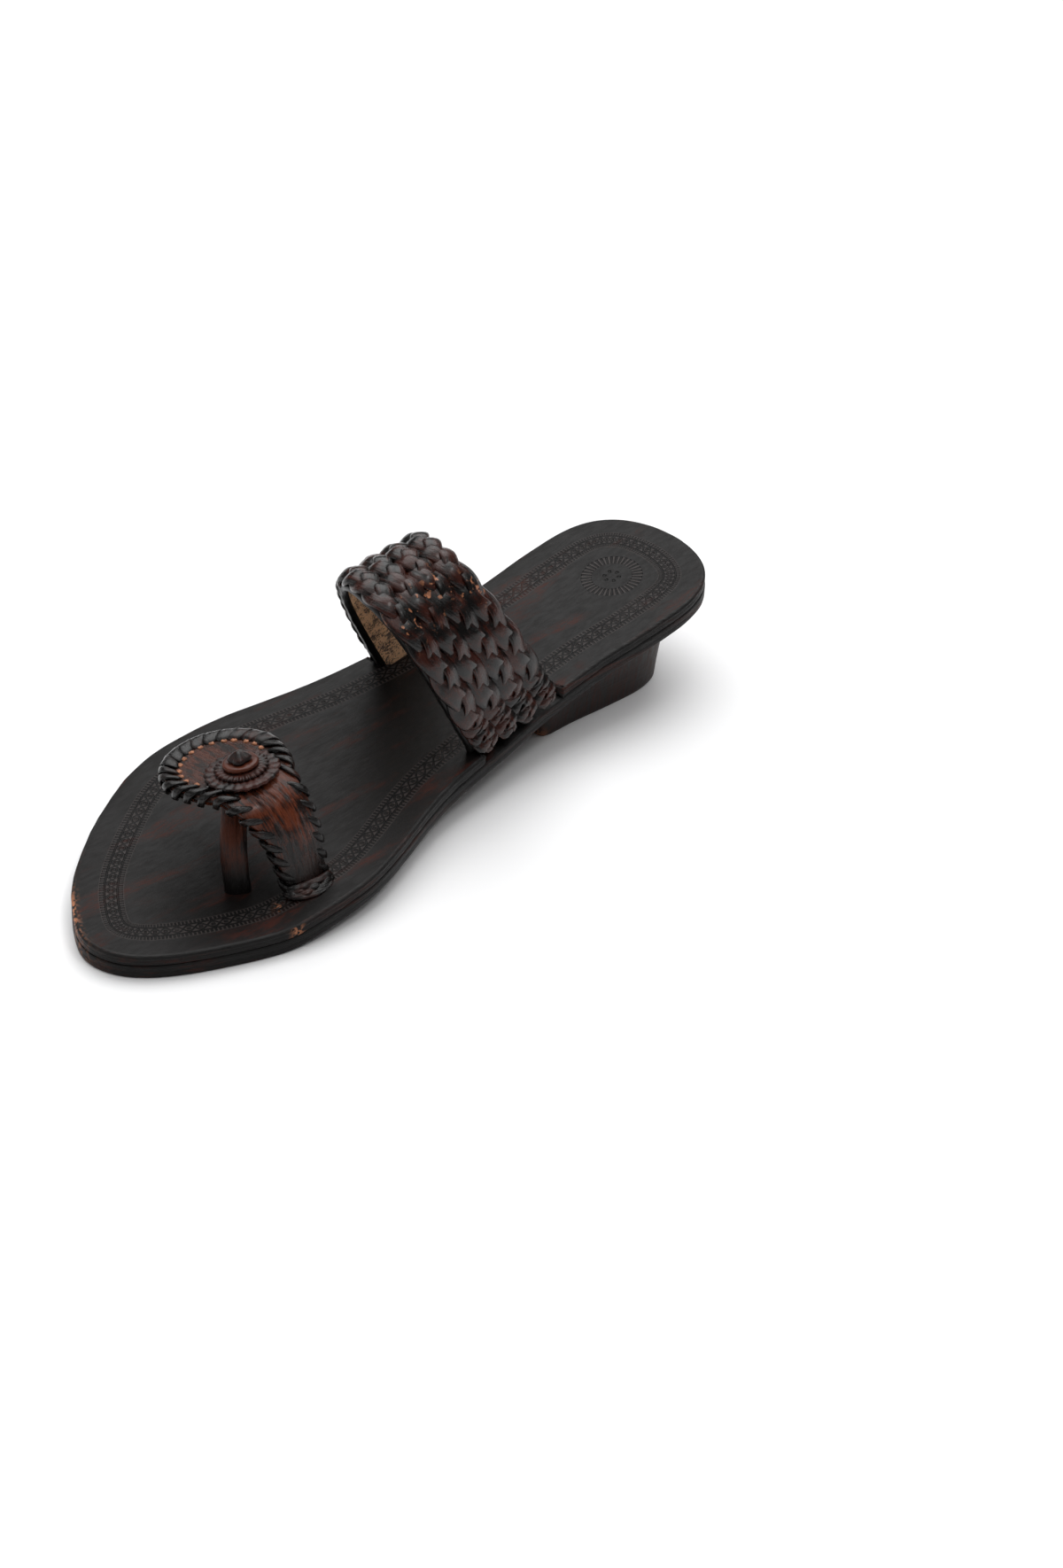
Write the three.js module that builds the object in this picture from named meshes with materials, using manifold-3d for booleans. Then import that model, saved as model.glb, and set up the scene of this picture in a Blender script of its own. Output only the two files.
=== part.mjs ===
// Kolhapuri sandal, right foot, with a braided instep strap and a rosette toe loop.
// Millimetres, +Z up. The toe points along -Y, the big-toe side is +X.
// The origin lies on the floor, under the middle of the sandal's box.
import * as THREE from 'three';
import { mergeVertices } from 'three/addons/utils/BufferGeometryUtils.js';
import Module from 'manifold-3d';

const wasm = await Module();
wasm.setup();

// ---- driving dimensions -------------------------------------------------
const LENGTH = 258;             // outsole, toe tip to heel tip
const OUTSOLE_THICK = 4.3;
const INSOLE_THICK = 3.2;
const FIT_GAP = 0.3;            // left between pieces that meet
const EDGE_ROUND = 0.9;         // rounding of the sole plates' arrises
const SOLE_STATIONS = 64;

// plan and side view of the sole, a row for each section from toe to heel
const SOLE = [
  { along: 0, lateral: 10.5, medial: 10.5, rise: 0 },
  { along: 4, lateral: 0, medial: 22.5, rise: 0 },
  { along: 16, lateral: -16.2, medial: 32.4, rise: 0 },
  { along: 30, lateral: -28.1, medial: 39.2, rise: 0 },
  { along: 44, lateral: -37.8, medial: 44.6, rise: 0 },
  { along: 60, lateral: -45, medial: 47.7, rise: 2.4 },
  { along: 76, lateral: -47.8, medial: 47.5, rise: 4.4 },
  { along: 94, lateral: -46.7, medial: 43, rise: 6.1 },
  { along: 112, lateral: -43, medial: 36.3, rise: 7.5 },
  { along: 130, lateral: -38.8, medial: 31.3, rise: 9 },
  { along: 150, lateral: -35, medial: 29.2, rise: 11.8 },
  { along: 172, lateral: -32.5, medial: 26.6, rise: 15.6 },
  { along: 194, lateral: -31.8, medial: 26, rise: 19.6 },
  { along: 216, lateral: -32.4, medial: 27.5, rise: 23.3 },
  { along: 232, lateral: -32.2, medial: 28, rise: 26 },
  { along: 244, lateral: -29.4, medial: 25.6, rise: 28 },
  { along: 253, lateral: -21.5, medial: 17.3, rise: 29.4 },
  { along: 258, lateral: -2.5, medial: -2.5, rise: 30.2 },
];

// heel block: share of the sole's width and where its rear ends, under the sole and on the floor
const HEEL = {
  top: { breast: 174, rear: 245, widthShare: 0.79 },
  floor: { breast: 180.5, rear: 242, widthShare: 0.67 },
};
const HEEL_LEVELS = 3;
const HEEL_SIDE_STATIONS = 16;

// instep strap: where its front and back edges stand in the sole, and their arches
const STRAP_FRONT = {
  medial: { x: 26.3, along: 142 }, lateral: { x: -29.6, along: 152 },
  height: 52.5, lean: 29, squareness: 2.4,
};
const STRAP_BACK = {
  medial: { x: 22.6, along: 178.5 }, lateral: { x: -28.6, along: 184.5 },
  height: 50, lean: 30, squareness: 2.2,
};
const LINING_THICK = 2;         // the sheet that the braids are sewn to
const BRAID_COUNT = 4;
const BRAID_THICK = 4.6;
const BRAID_VALLEY = 1.6;       // leather left between two braids
const BRAID_FACETS = 5;
const NOTCH_RUNOUT = 9;         // how far the strap's notch runs out past the insole's edge
const STRAP_STATIONS = 40;
const ARCH_STEPS = 400;          // fine steps that the arch's length is summed over

// toe strap: the run of its middle line, with half its width at each row
const TOE_DISC_RADIUS = 18.4;
const TOE_STRAP_THICK = 2.6;
const TOE_DISC = { x: 2.6, y: -69.2, z: 37.8 };
const TOE_WIDTH_WAY = { x: 0.12, y: 1 };       // the strap's width runs this way, seen from above
const TOE_DISC_SLOPE = { x: 0.16, y: 0.08 };   // rise of the disc towards +X and +Y
const TOE_STRAP = [
  { x: 2.6, y: -69.2, z: 37.8, half: 18.4 },
  { x: 11.6, y: -69.8, z: 39.1, half: 16.2 },
  { x: 20, y: -70.3, z: 39.6, half: 12.4 },
  { x: 26.3, y: -69.3, z: 36.8, half: 10.4 },
  { x: 30.6, y: -67.9, z: 30.6, half: 9 },
  { x: 33.6, y: -66.7, z: 22, half: 7.9 },
  { x: 35.2, y: -65.8, z: 14, half: 7.2 },
  { x: 35.6, y: -65.5, z: 8, half: 7 },
];
const DISC_STATIONS = 14;
const DISC_TIP = 0.4;           // the first section lies this share of a step in from the rim
const TOE_EDGE_SOFT = 0.6;      // rounding of the strap's edges, as a share of half its thickness
const TOE_STRAP_STATIONS = 22;

// post between the toes
const POST_PATH = [
  { x: 21, y: -80, z: 6 },
  { x: 19.6, y: -80, z: 14 },
  { x: 17, y: -78.4, z: 25 },
  { x: 12, y: -72.4, z: 36 },
];
const POST_WIDTH_WAY = { x: 0.72, y: 0.69 };   // its flat side is turned this way
const POST_HALF_WIDTH = 4;
const POST_HALF_THICK = 2.1;
const POST_FACETS = 12;
const POST_STATIONS = 12;

// rosette on the toe disc, from the leather up
const ROSETTE = { x: 12, y: -69.8 };
const WASHER = { radius: 10.6, wave: 0.5, teeth: 22, thick: 1.1 };
const RING = { radius: 8.2, wave: 0.7, teeth: 26, thick: 1 };
const CAP = { radius: 5.7, thick: 1.3, rim: 0.4, facets: 40 };
const KNOB = { radius: 3.7, height: 3, flatShare: 0.8 };   // flats lie nearer than corners
const KNOB_LEVELS = [
  { up: 0, share: 0.86 },
  { up: 0.22, share: 1 },
  { up: 0.7, share: 0.66 },
  { up: 1, share: 0.3 },
];
const TOOTH_STEPS = 4;          // outline points for each tooth

// ---- materials ----------------------------------------------------------
function leather(name, color, roughness) {
  const material = new THREE.MeshStandardMaterial({ color, roughness, metalness: 0 });
  material.name = name;
  return material;
}

// ---- helpers ------------------------------------------------------------
const vec = (x, y, z) => new THREE.Vector3(x, y, z);
const lerp = THREE.MathUtils.lerp;
const alongToY = (along) => along - LENGTH / 2;

// smooth, non-overshooting value of one column of a table at a station
function column(rows, key, name, at) {
  const last = rows.length - 1;
  const x = THREE.MathUtils.clamp(at, rows[0][key], rows[last][key]);
  let i = 0;
  while (i < last - 1 && x > rows[i + 1][key]) i += 1;
  const slope = (k) => (rows[k + 1][name] - rows[k][name]) / (rows[k + 1][key] - rows[k][key]);
  const tangent = (k) => {
    if (k <= 0) return slope(0);
    if (k >= last) return slope(last - 1);
    const before = slope(k - 1);
    const after = slope(k);
    return before * after <= 0 ? 0 : (2 * before * after) / (before + after);
  };
  const span = rows[i + 1][key] - rows[i][key];
  const t = (x - rows[i][key]) / span;
  const a = rows[i][name];
  const b = rows[i + 1][name];
  const h = t * t * (3 - 2 * t);
  return a + (b - a) * h + span * (t * (1 - t) ** 2 * tangent(i) - t * t * (1 - t) * tangent(i + 1));
}

// turn of a half circle over the sole's length: in it, round tips are straight lines
const turnAt = (along) => Math.acos(THREE.MathUtils.clamp(1 - (2 * along) / LENGTH, -1, 1));
const SOLE_TURNS = SOLE.map((row) => ({ ...row, turn: turnAt(row.along) }));
const soleAt = (name, along) => (name === 'rise'
  ? column(SOLE, 'along', 'rise', along)
  : column(SOLE_TURNS, 'turn', name, turnAt(along)));
const insoleBottom = (along) => soleAt('rise', along) + OUTSOLE_THICK + FIT_GAP;
const insoleTop = (along) => insoleBottom(along) + INSOLE_THICK;

// seats the first ring on the outsole; a swollen body, for a slot, runs on down past the insole
function seatFirst(rings, grow) {
  const seated = rings[0];
  seated.forEach((point) => {
    point.z = insoleBottom(point.y + LENGTH / 2) + FIT_GAP;
  });
  if (grow > 0) rings.unshift(seated.map((p) => vec(p.x, p.y, p.z - INSOLE_THICK)));
}

function seatLast(rings, grow) {
  rings.reverse();
  seatFirst(rings, grow);
}

// closed body through rings of equal length, with flat fans over both ends
function loft(rings) {
  const count = rings[0].length;
  const positions = [];
  const index = [];
  rings.forEach((ring) => ring.forEach((p) => positions.push(p.x, p.y, p.z)));
  for (let r = 0; r < rings.length - 1; r += 1) {
    for (let k = 0; k < count; k += 1) {
      const a = r * count + k;
      const b = r * count + ((k + 1) % count);
      index.push(a, b, b + count, a, b + count, a + count);
    }
  }
  const cap = (start, ring, flip) => {
    const middle = ring.reduce((sum, p) => sum.add(p), vec(0, 0, 0)).divideScalar(count);
    const centre = positions.length / 3;
    positions.push(middle.x, middle.y, middle.z);
    for (let k = 0; k < count; k += 1) {
      const a = start + k;
      const b = start + ((k + 1) % count);
      index.push(...(flip ? [centre, b, a] : [centre, a, b]));
    }
  };
  cap(0, rings[0], true);
  cap((rings.length - 1) * count, rings[rings.length - 1], false);
  const geometry = new THREE.BufferGeometry();
  geometry.setAttribute('position', new THREE.Float32BufferAttribute(positions, 3));
  geometry.setIndex(index);
  return signedVolume(geometry) < 0 ? turnedInsideOut(geometry) : geometry;
}

function signedVolume(geometry) {
  const at = geometry.getAttribute('position');
  const corner = [vec(0, 0, 0), vec(0, 0, 0), vec(0, 0, 0)];
  let sum = 0;
  for (let i = 0; i < geometry.index.count; i += 3) {
    corner.forEach((c, k) => c.fromBufferAttribute(at, geometry.index.getX(i + k)));
    sum += corner[0].dot(corner[1].clone().cross(corner[2]));
  }
  return sum / 6;
}

function turnedInsideOut(geometry) {
  const index = Array.from(geometry.index.array);
  for (let i = 0; i < index.length; i += 3) {
    [index[i + 1], index[i + 2]] = [index[i + 2], index[i + 1]];
  }
  geometry.setIndex(index);
  return geometry;
}

function toSolid(geometry) {
  const bare = geometry.clone();
  bare.deleteAttribute('normal');
  bare.deleteAttribute('uv');
  const merged = mergeVertices(bare, 1e-4);
  const mesh = new wasm.Mesh({
    numProp: 3,
    vertProperties: new Float32Array(merged.getAttribute('position').array),
    triVerts: new Uint32Array(merged.index.array),
  });
  return new wasm.Manifold(mesh);
}

function toGeometry(solid) {
  const mesh = solid.getMesh();
  const geometry = new THREE.BufferGeometry();
  geometry.setAttribute('position', new THREE.Float32BufferAttribute(mesh.vertProperties, 3));
  geometry.setIndex(Array.from(mesh.triVerts));
  return geometry;
}

// first geometry with each of the others taken away
function cutBy(geometry, ...cutters) {
  const left = cutters.reduce((solid, cutter) => solid.subtract(toSolid(cutter)), toSolid(geometry));
  return toGeometry(left);
}

// ---- sole plates --------------------------------------------------------
// a plate with the sole's outline, from bottom(along) up to top(along), arrises rounded
function solePlate(bottom, top) {
  const rings = [];
  for (let i = 0; i <= SOLE_STATIONS; i += 1) {
    const share = (1 - Math.cos((Math.PI * i) / SOLE_STATIONS)) / 2;
    const along = share * LENGTH;
    const y = alongToY(along);
    const lateral = soleAt('lateral', along);
    const medial = soleAt('medial', along);
    const low = bottom(along);
    const high = top(along);
    const round = Math.min(EDGE_ROUND, (medial - lateral) / 4);
    rings.push([
      vec(lateral + round, y, low), vec(medial - round, y, low),
      vec(medial, y, low + round), vec(medial, y, high - round),
      vec(medial - round, y, high), vec(lateral + round, y, high),
      vec(lateral, y, high - round), vec(lateral, y, low + round),
    ]);
  }
  return loft(rings);
}

function outsoleGeometry() {
  const bottom = (along) => soleAt('rise', along);
  return solePlate(bottom, (along) => bottom(along) + OUTSOLE_THICK);
}

function insoleGeometry() {
  const plate = solePlate(insoleBottom, insoleTop);
  return cutBy(
    plate,
    instepStrapGeometry(FIT_GAP),
    toeStrapGeometry(FIT_GAP),
    postGeometry(FIT_GAP),
  );
}

// ---- heel block ---------------------------------------------------------
// D-shaped ring: the sole's own heel outline, narrowed and drawn in, from the breast to the rear
function heelRing(level) {
  const size = {};
  Object.keys(HEEL.top).forEach((key) => {
    size[key] = lerp(HEEL.floor[key], HEEL.top[key], level);
  });
  const side = (name) => {
    const points = [];
    for (let i = 0; i <= HEEL_SIDE_STATIONS; i += 1) {
      const share = Math.sin((Math.PI / 2) * (i / HEEL_SIDE_STATIONS));
      const soleAlong = lerp(size.breast, LENGTH, share);
      const along = lerp(size.breast, size.rear, share);
      const middle = (soleAt('lateral', soleAlong) + soleAt('medial', soleAlong)) / 2;
      const x = middle + (soleAt(name, soleAlong) - middle) * size.widthShare;
      const z = (soleAt('rise', along) - FIT_GAP) * level;
      points.push(vec(x, alongToY(along), z));
    }
    return points;
  };
  return [...side('medial'), ...side('lateral').reverse()];
}

function heelGeometry() {
  const rings = [];
  for (let i = 0; i <= HEEL_LEVELS; i += 1) rings.push(heelRing(i / HEEL_LEVELS));
  return loft(rings);
}

// ---- instep strap -------------------------------------------------------
// point of one edge of the strap; turn runs from 0 at the medial foot to PI at the lateral one
function strapEdge(edge, turn) {
  const power = 2 / edge.squareness;
  const across = (1 - Math.sign(Math.cos(turn)) * Math.abs(Math.cos(turn)) ** power) / 2;
  const up = Math.abs(Math.sin(turn)) ** power;
  const along = lerp(edge.medial.along, edge.lateral.along, across);
  return vec(
    lerp(edge.medial.x, edge.lateral.x, across),
    alongToY(along) - edge.lean * up,
    insoleBottom(along) + FIT_GAP + (edge.height + INSOLE_THICK - FIT_GAP) * up,
  );
}

// outer face of the braids over the lining, at a share of the strap's width
function braidHeight(share) {
  const phase = share < 1 ? (share * BRAID_COUNT) % 1 : 1;
  return BRAID_VALLEY + (BRAID_THICK - BRAID_VALLEY) * Math.sqrt(Math.abs(Math.sin(Math.PI * phase)));
}

// equal steps along the arch, so that the steep feet aren't starved of sections
function strapTurns() {
  const lengths = [0];
  for (let i = 1; i <= ARCH_STEPS; i += 1) {
    const a = strapEdge(STRAP_FRONT, (Math.PI * (i - 1)) / ARCH_STEPS);
    const b = strapEdge(STRAP_FRONT, (Math.PI * i) / ARCH_STEPS);
    lengths.push(lengths[i - 1] + a.distanceTo(b));
  }
  const turns = [];
  let k = 0;
  for (let i = 0; i <= STRAP_STATIONS; i += 1) {
    const wanted = (lengths[ARCH_STEPS] * i) / STRAP_STATIONS;
    while (k < ARCH_STEPS - 1 && lengths[k + 1] < wanted) k += 1;
    const part = (wanted - lengths[k]) / (lengths[k + 1] - lengths[k]);
    turns.push((Math.PI * (k + Math.min(part, 1))) / ARCH_STEPS);
  }
  return turns;
}

// one wall: lining and braids together; grow swells it for the slots that it passes through
function instepStrapGeometry(grow = 0) {
  const turns = strapTurns();
  const middle = (turn) => strapEdge(STRAP_FRONT, turn).lerp(strapEdge(STRAP_BACK, turn), 0.5);
  const rings = turns.map((turn, i) => {
    const front = strapEdge(STRAP_FRONT, turn);
    const back = strapEdge(STRAP_BACK, turn);
    const tangent = middle(turns[Math.min(i + 1, STRAP_STATIONS)])
      .sub(middle(turns[Math.max(i - 1, 0)])).normalize();
    const width = back.clone().sub(front);
    const out = width.clone().cross(tangent).normalize();
    const reach = grow / width.length();
    const inner = -LINING_THICK / 2 - BRAID_THICK / 2 - grow;
    const at = (share, height) => front.clone()
      .addScaledVector(width, share)
      .addScaledVector(out, height);
    const ring = [at(-reach, inner), at(0.5, inner), at(1 + reach, inner)];
    const steps = BRAID_COUNT * BRAID_FACETS;
    for (let k = steps; k >= 0; k -= 1) {
      const share = k / steps;
      const swell = share === 0 ? -reach : reach * (share === 1);
      const runout = grow > 0 ? NOTCH_RUNOUT : 0;
      const height = inner + LINING_THICK + braidHeight(share) + runout;
      ring.push(at(share + swell, height));
    }
    return ring;
  });
  seatFirst(rings, grow);
  seatLast(rings, grow);
  return loft(rings);
}

// ---- toe strap and post -------------------------------------------------
const TOE_NORMAL = vec(-TOE_DISC_SLOPE.x, -TOE_DISC_SLOPE.y, 1).normalize();
const discHeight = (x, y) => TOE_DISC.z
  + TOE_DISC_SLOPE.x * (x - TOE_DISC.x) + TOE_DISC_SLOPE.y * (y - TOE_DISC.y);

// middle line of the toe strap, from the lateral rim of its disc to its foot in the insole
function toeStrapStations() {
  const stations = [];
  const points = TOE_STRAP.map((row) => vec(row.x, row.y, row.z));
  const centre = points[0];
  const onward = points[1].clone().sub(centre).normalize();
  for (let i = 0; i < DISC_STATIONS; i += 1) {
    const angle = (Math.PI / 2) * ((i + DISC_TIP) / (DISC_STATIONS + DISC_TIP));
    stations.push({
      at: centre.clone().addScaledVector(onward, -TOE_DISC_RADIUS * Math.cos(angle)),
      half: TOE_DISC_RADIUS * Math.sin(angle),
    });
  }
  const line = new THREE.CatmullRomCurve3(points, false);
  for (let i = 0; i <= TOE_STRAP_STATIONS; i += 1) {
    const share = i / TOE_STRAP_STATIONS;
    const row = share * (TOE_STRAP.length - 1);
    const half = column(TOE_STRAP.map((r, k) => ({ k, half: r.half })), 'k', 'half', row);
    stations.push({ at: line.getPoint(share), half });
  }
  return stations;
}

function toeStrapGeometry(grow = 0) {
  const stations = toeStrapStations();
  const last = stations.length - 1;
  const widthWay = vec(TOE_WIDTH_WAY.x, TOE_WIDTH_WAY.y, TOE_DISC_SLOPE.y);
  const rings = stations.map((station, i) => {
    const before = stations[Math.max(i - 1, 0)].at;
    const after = stations[Math.min(i + 1, last)].at;
    const tangent = after.clone().sub(before).normalize();
    const across = widthWay.clone().addScaledVector(tangent, -widthWay.dot(tangent)).normalize();
    const out = tangent.clone().cross(across).normalize();
    const half = station.half + grow;
    const thick = TOE_STRAP_THICK / 2 + grow;
    const soft = Math.min(thick * TOE_EDGE_SOFT, half / 3);
    const at = (u, v) => station.at.clone().addScaledVector(across, u).addScaledVector(out, v);
    return [
      at(-half + soft, -thick), at(half - soft, -thick), at(half, -thick + soft),
      at(half, thick - soft), at(half - soft, thick), at(-half + soft, thick),
      at(-half, thick - soft), at(-half, -thick + soft),
    ];
  });
  seatLast(rings, grow);
  return loft(rings);
}

// oval strip, ending just under the disc
function postGeometry(grow = 0) {
  const line = new THREE.CatmullRomCurve3(POST_PATH.map((row) => vec(row.x, row.y, row.z)), false);
  const widthWay = vec(POST_WIDTH_WAY.x, POST_WIDTH_WAY.y, 0);
  const rings = [];
  for (let i = 0; i <= POST_STATIONS; i += 1) {
    const share = i / POST_STATIONS;
    const middle = line.getPoint(share);
    const tangent = line.getTangent(share);
    const across = widthWay.clone().addScaledVector(tangent, -widthWay.dot(tangent)).normalize();
    const out = tangent.clone().cross(across).normalize();
    const ring = [];
    for (let k = 0; k < POST_FACETS; k += 1) {
      const angle = (2 * Math.PI * k) / POST_FACETS;
      const u = (POST_HALF_WIDTH + grow) * Math.cos(angle);
      const v = (POST_HALF_THICK + grow) * Math.sin(angle);
      const point = middle.clone().addScaledVector(across, u).addScaledVector(out, v);
      if (i === POST_STATIONS) {
        const underDisc = TOE_STRAP_THICK / 2 / TOE_NORMAL.z + 2 * FIT_GAP;
        point.z = discHeight(point.x, point.y) - underDisc;
      }
      ring.push(point);
    }
    rings.push(ring);
  }
  seatFirst(rings, grow);
  return loft(rings);
}

// ---- rosette ------------------------------------------------------------
// flat disc with a toothed rim
function toothedDisc(size) {
  const outline = new THREE.Shape();
  const steps = size.teeth * TOOTH_STEPS;
  for (let i = 0; i < steps; i += 1) {
    const angle = (2 * Math.PI * i) / steps;
    const radius = size.radius - size.wave * (1 - Math.cos(size.teeth * angle)) / 2;
    const point = [radius * Math.cos(angle), radius * Math.sin(angle)];
    if (i === 0) outline.moveTo(...point);
    else outline.lineTo(...point);
  }
  outline.closePath();
  return new THREE.ExtrudeGeometry(outline, { depth: size.thick, bevelEnabled: false });
}

// low disc with a rounded rim, turned about its own axis
function capGeometry() {
  const profile = [
    new THREE.Vector2(0, 0),
    new THREE.Vector2(CAP.radius, 0),
    new THREE.Vector2(CAP.radius, CAP.thick - CAP.rim),
    new THREE.Vector2(CAP.radius - CAP.rim, CAP.thick),
    new THREE.Vector2(0, CAP.thick),
  ];
  const geometry = new THREE.LatheGeometry(profile, CAP.facets);
  geometry.rotateX(Math.PI / 2);
  return geometry;
}

// four-sided knot with a blunt tip
function knobGeometry() {
  const rings = KNOB_LEVELS.map((level) => {
    const ring = [];
    for (let k = 0; k < 8; k += 1) {
      const corner = k % 2 === 0 ? 1 : KNOB.flatShare;
      const radius = KNOB.radius * level.share * corner;
      const angle = (Math.PI * k) / 4;
      ring.push(vec(radius * Math.cos(angle), radius * Math.sin(angle), level.up * KNOB.height));
    }
    return ring;
  });
  return loft(rings);
}

// ---- scene graph --------------------------------------------------------
const DARK = 0x2a1b16;
const EDGE_BLACK = 0x171413;

function piece(name, geometry, color, roughness = 0.5) {
  const mesh = new THREE.Mesh(geometry, leather(name, color, roughness));
  mesh.name = name;
  return mesh;
}

function rosetteGroup() {
  const group = new THREE.Group();
  group.position.set(ROSETTE.x, ROSETTE.y, discHeight(ROSETTE.x, ROSETTE.y));
  group.quaternion.setFromUnitVectors(vec(0, 0, 1), TOE_NORMAL);
  const layers = [
    { mesh: piece('rosette_washer', toothedDisc(WASHER), 0x3a2019), thick: WASHER.thick },
    { mesh: piece('rosette_ring', toothedDisc(RING), DARK), thick: RING.thick },
    { mesh: piece('rosette_cap', capGeometry(), 0x33201a), thick: CAP.thick },
    { mesh: piece('post_knob', knobGeometry(), EDGE_BLACK), thick: KNOB.height },
  ];
  let level = TOE_STRAP_THICK / 2 + 2 * FIT_GAP;
  layers.forEach(({ mesh, thick }) => {
    mesh.position.z = level;
    level += thick + FIT_GAP;
    group.add(mesh);
  });
  return group;
}

const sandal = new THREE.Group();
sandal.add(piece('outsole', outsoleGeometry(), EDGE_BLACK, 0.6));
sandal.add(piece('insole', insoleGeometry(), DARK, 0.42));
sandal.add(piece('heel_block', heelGeometry(), 0x35221c, 0.6));
sandal.add(piece('instep_strap', instepStrapGeometry(), DARK, 0.45));
sandal.add(piece('toe_strap', toeStrapGeometry(), 0x44241a, 0.45));
sandal.add(piece('toe_post', postGeometry(), 0x3a1f17, 0.5));
sandal.add(rosetteGroup());

export default sandal;
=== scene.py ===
"""Looks of the kolhapuri sandal, right foot: tooled footbed, braided instep strap and laced toe loop.

Lengths in the tables are millimetres in the part's frame: +Z up, toe towards -Y, big-toe side +X.
"""

import math

import bmesh
import bpy
import numpy as np
from mathutils import Matrix, Vector, noise


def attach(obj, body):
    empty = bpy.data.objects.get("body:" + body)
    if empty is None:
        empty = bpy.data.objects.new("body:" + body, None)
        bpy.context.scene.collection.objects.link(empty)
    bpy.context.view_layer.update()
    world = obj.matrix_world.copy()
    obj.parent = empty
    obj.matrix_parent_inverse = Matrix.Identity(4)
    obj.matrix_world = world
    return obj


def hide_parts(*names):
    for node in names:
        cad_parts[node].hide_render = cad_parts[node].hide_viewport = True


bl_info = {
    "name": "Kolhapuri sandal",
    "version": (1, 0, 0),
    "blender": (4, 5, 0),
    "location": "3D View > Sidebar > Sandal",
    "description": "Builds the leather pieces of a braided kolhapuri sandal on its solid parts",
    "category": "Add Mesh",
}

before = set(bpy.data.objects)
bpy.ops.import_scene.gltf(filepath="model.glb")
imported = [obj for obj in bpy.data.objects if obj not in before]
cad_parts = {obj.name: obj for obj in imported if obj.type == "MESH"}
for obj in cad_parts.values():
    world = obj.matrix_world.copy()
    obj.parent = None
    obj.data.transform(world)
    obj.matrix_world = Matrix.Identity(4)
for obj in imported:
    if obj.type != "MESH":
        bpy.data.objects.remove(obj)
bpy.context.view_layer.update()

MM = 0.001
BODY = "root"

# ---- sizes shared with the solid parts, in millimetres --------------------------------------
LENGTH = 258.0
OUTSOLE_THICK = 4.3
INSOLE_THICK = 3.2
FIT_GAP = 0.3


def table(names, *rows):
    """A short table: one dict for each row, with the named columns."""
    return [dict(zip(names.split(), row)) for row in rows]


SOLE = table(
    "along lateral medial rise",
    (0, 10.5, 10.5, 0), (4, 0, 22.5, 0), (16, -16.2, 32.4, 0), (30, -28.1, 39.2, 0),
    (44, -37.8, 44.6, 0), (60, -45, 47.7, 2.4), (76, -47.8, 47.5, 4.4), (94, -46.7, 43, 6.1),
    (112, -43, 36.3, 7.5), (130, -38.8, 31.3, 9), (150, -35, 29.2, 11.8), (172, -32.5, 26.6, 15.6),
    (194, -31.8, 26, 19.6), (216, -32.4, 27.5, 23.3), (232, -32.2, 28, 26), (244, -29.4, 25.6, 28),
    (253, -21.5, 17.3, 29.4), (258, -2.5, -2.5, 30.2),
)
HEEL_TOP = {"breast": 174, "rear": 245, "share": 0.79}
HEEL_FLOOR = {"breast": 180.5, "rear": 242, "share": 0.67}

STRAP_FRONT = {"medial": (26.3, 142), "lateral": (-29.6, 152), "height": 52.5, "lean": 29, "square": 2.4}
STRAP_BACK = {"medial": (22.6, 178.5), "lateral": (-28.6, 184.5), "height": 50, "lean": 30, "square": 2.2}
LINING_THICK = 2.0
BRAID_THICK = 4.6
STRAP_HALF = (LINING_THICK + BRAID_THICK) / 2

# A braid's strands. The calm ones are on the big-toe side's flank and at the ends, where the braid lies flat.
STRAND_SWING = 0.56
STRAND_LIFT, CALM_LIFT_SHARE = 0.8, 0.7
STRAND_HALF_THICK, CALM_HALF_THICK = 1.2, 0.45
STRAND_ROLL, CALM_ROLL = 0.42, 0.3
STRAND_OFF_LINING = 0.9
END_BULGE, END_BULGE_REACH = 2.5, 10
TIP_REACH = 5.0
FLAT_FROM, FLAT_TO = 4, 16
SCUFF_PLACE, SCUFF_REACH = 0.37, 5.0

TOE_STRAP_THICK = 2.6
TOE_DISC_RADIUS = 18.4
TOE_DISC_SLOPE = (0.16, 0.08)
TOE_WIDTH_WAY = Vector((0.12, 1, 0.08))
TOE_STRAP = table(
    "x y z half",
    (2.6, -69.2, 37.8, 18.4), (11.6, -69.8, 39.1, 16.2), (20, -70.3, 39.6, 12.4),
    (26.3, -69.3, 36.8, 10.4), (30.6, -67.9, 30.6, 9), (33.6, -66.7, 22, 7.9),
    (35.2, -65.8, 14, 7.2), (35.6, -65.5, 8, 7),
)
POST = table("x y z", (21, -80, 6), (19.6, -80, 14), (17, -78.4, 25), (12, -72.4, 36))
POST_WIDTH_WAY = Vector((0.72, 0.69, 0))
POST_HALF_WIDTH = 4.0
POST_HALF_THICK = 2.1
THONG_HALF_THICK = 0.5
ROSETTE = (12, -69.8)
WASHER_THICK, RING_THICK, CAP_THICK = 1.1, 1.0, 1.3
WASHER_RADIUS, RING_RADIUS, CAP_RADIUS, KNOB_RADIUS = 11.5, 8.3, 5.5, 3.7

# ---- stamping -------------------------------------------------------------------------------
DIAMOND_PITCH = 4.0
TICKS_PER_DIAMOND = 3
# depths from the border's outer side
OUTER_TICKS, OUTER_RULE, CHAIN, INNER_RULE, INNER_TICKS = 0.7, 1.6, 3.5, 5.4, 6.3
TICK_HALF, RULE_HALF, CHAIN_REACH, CHAIN_HALF, BAND_HALF = 0.5, 0.12, 1.3, 0.22, 3.4
GROOVE_SOFT = 0.25
HEEL_STAMP = {"centre": (-1.8, 100.2), "inner": 6.8, "outer": 9.8, "dots": 2.4, "ticks": 36, "dot_count": 6}


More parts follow.
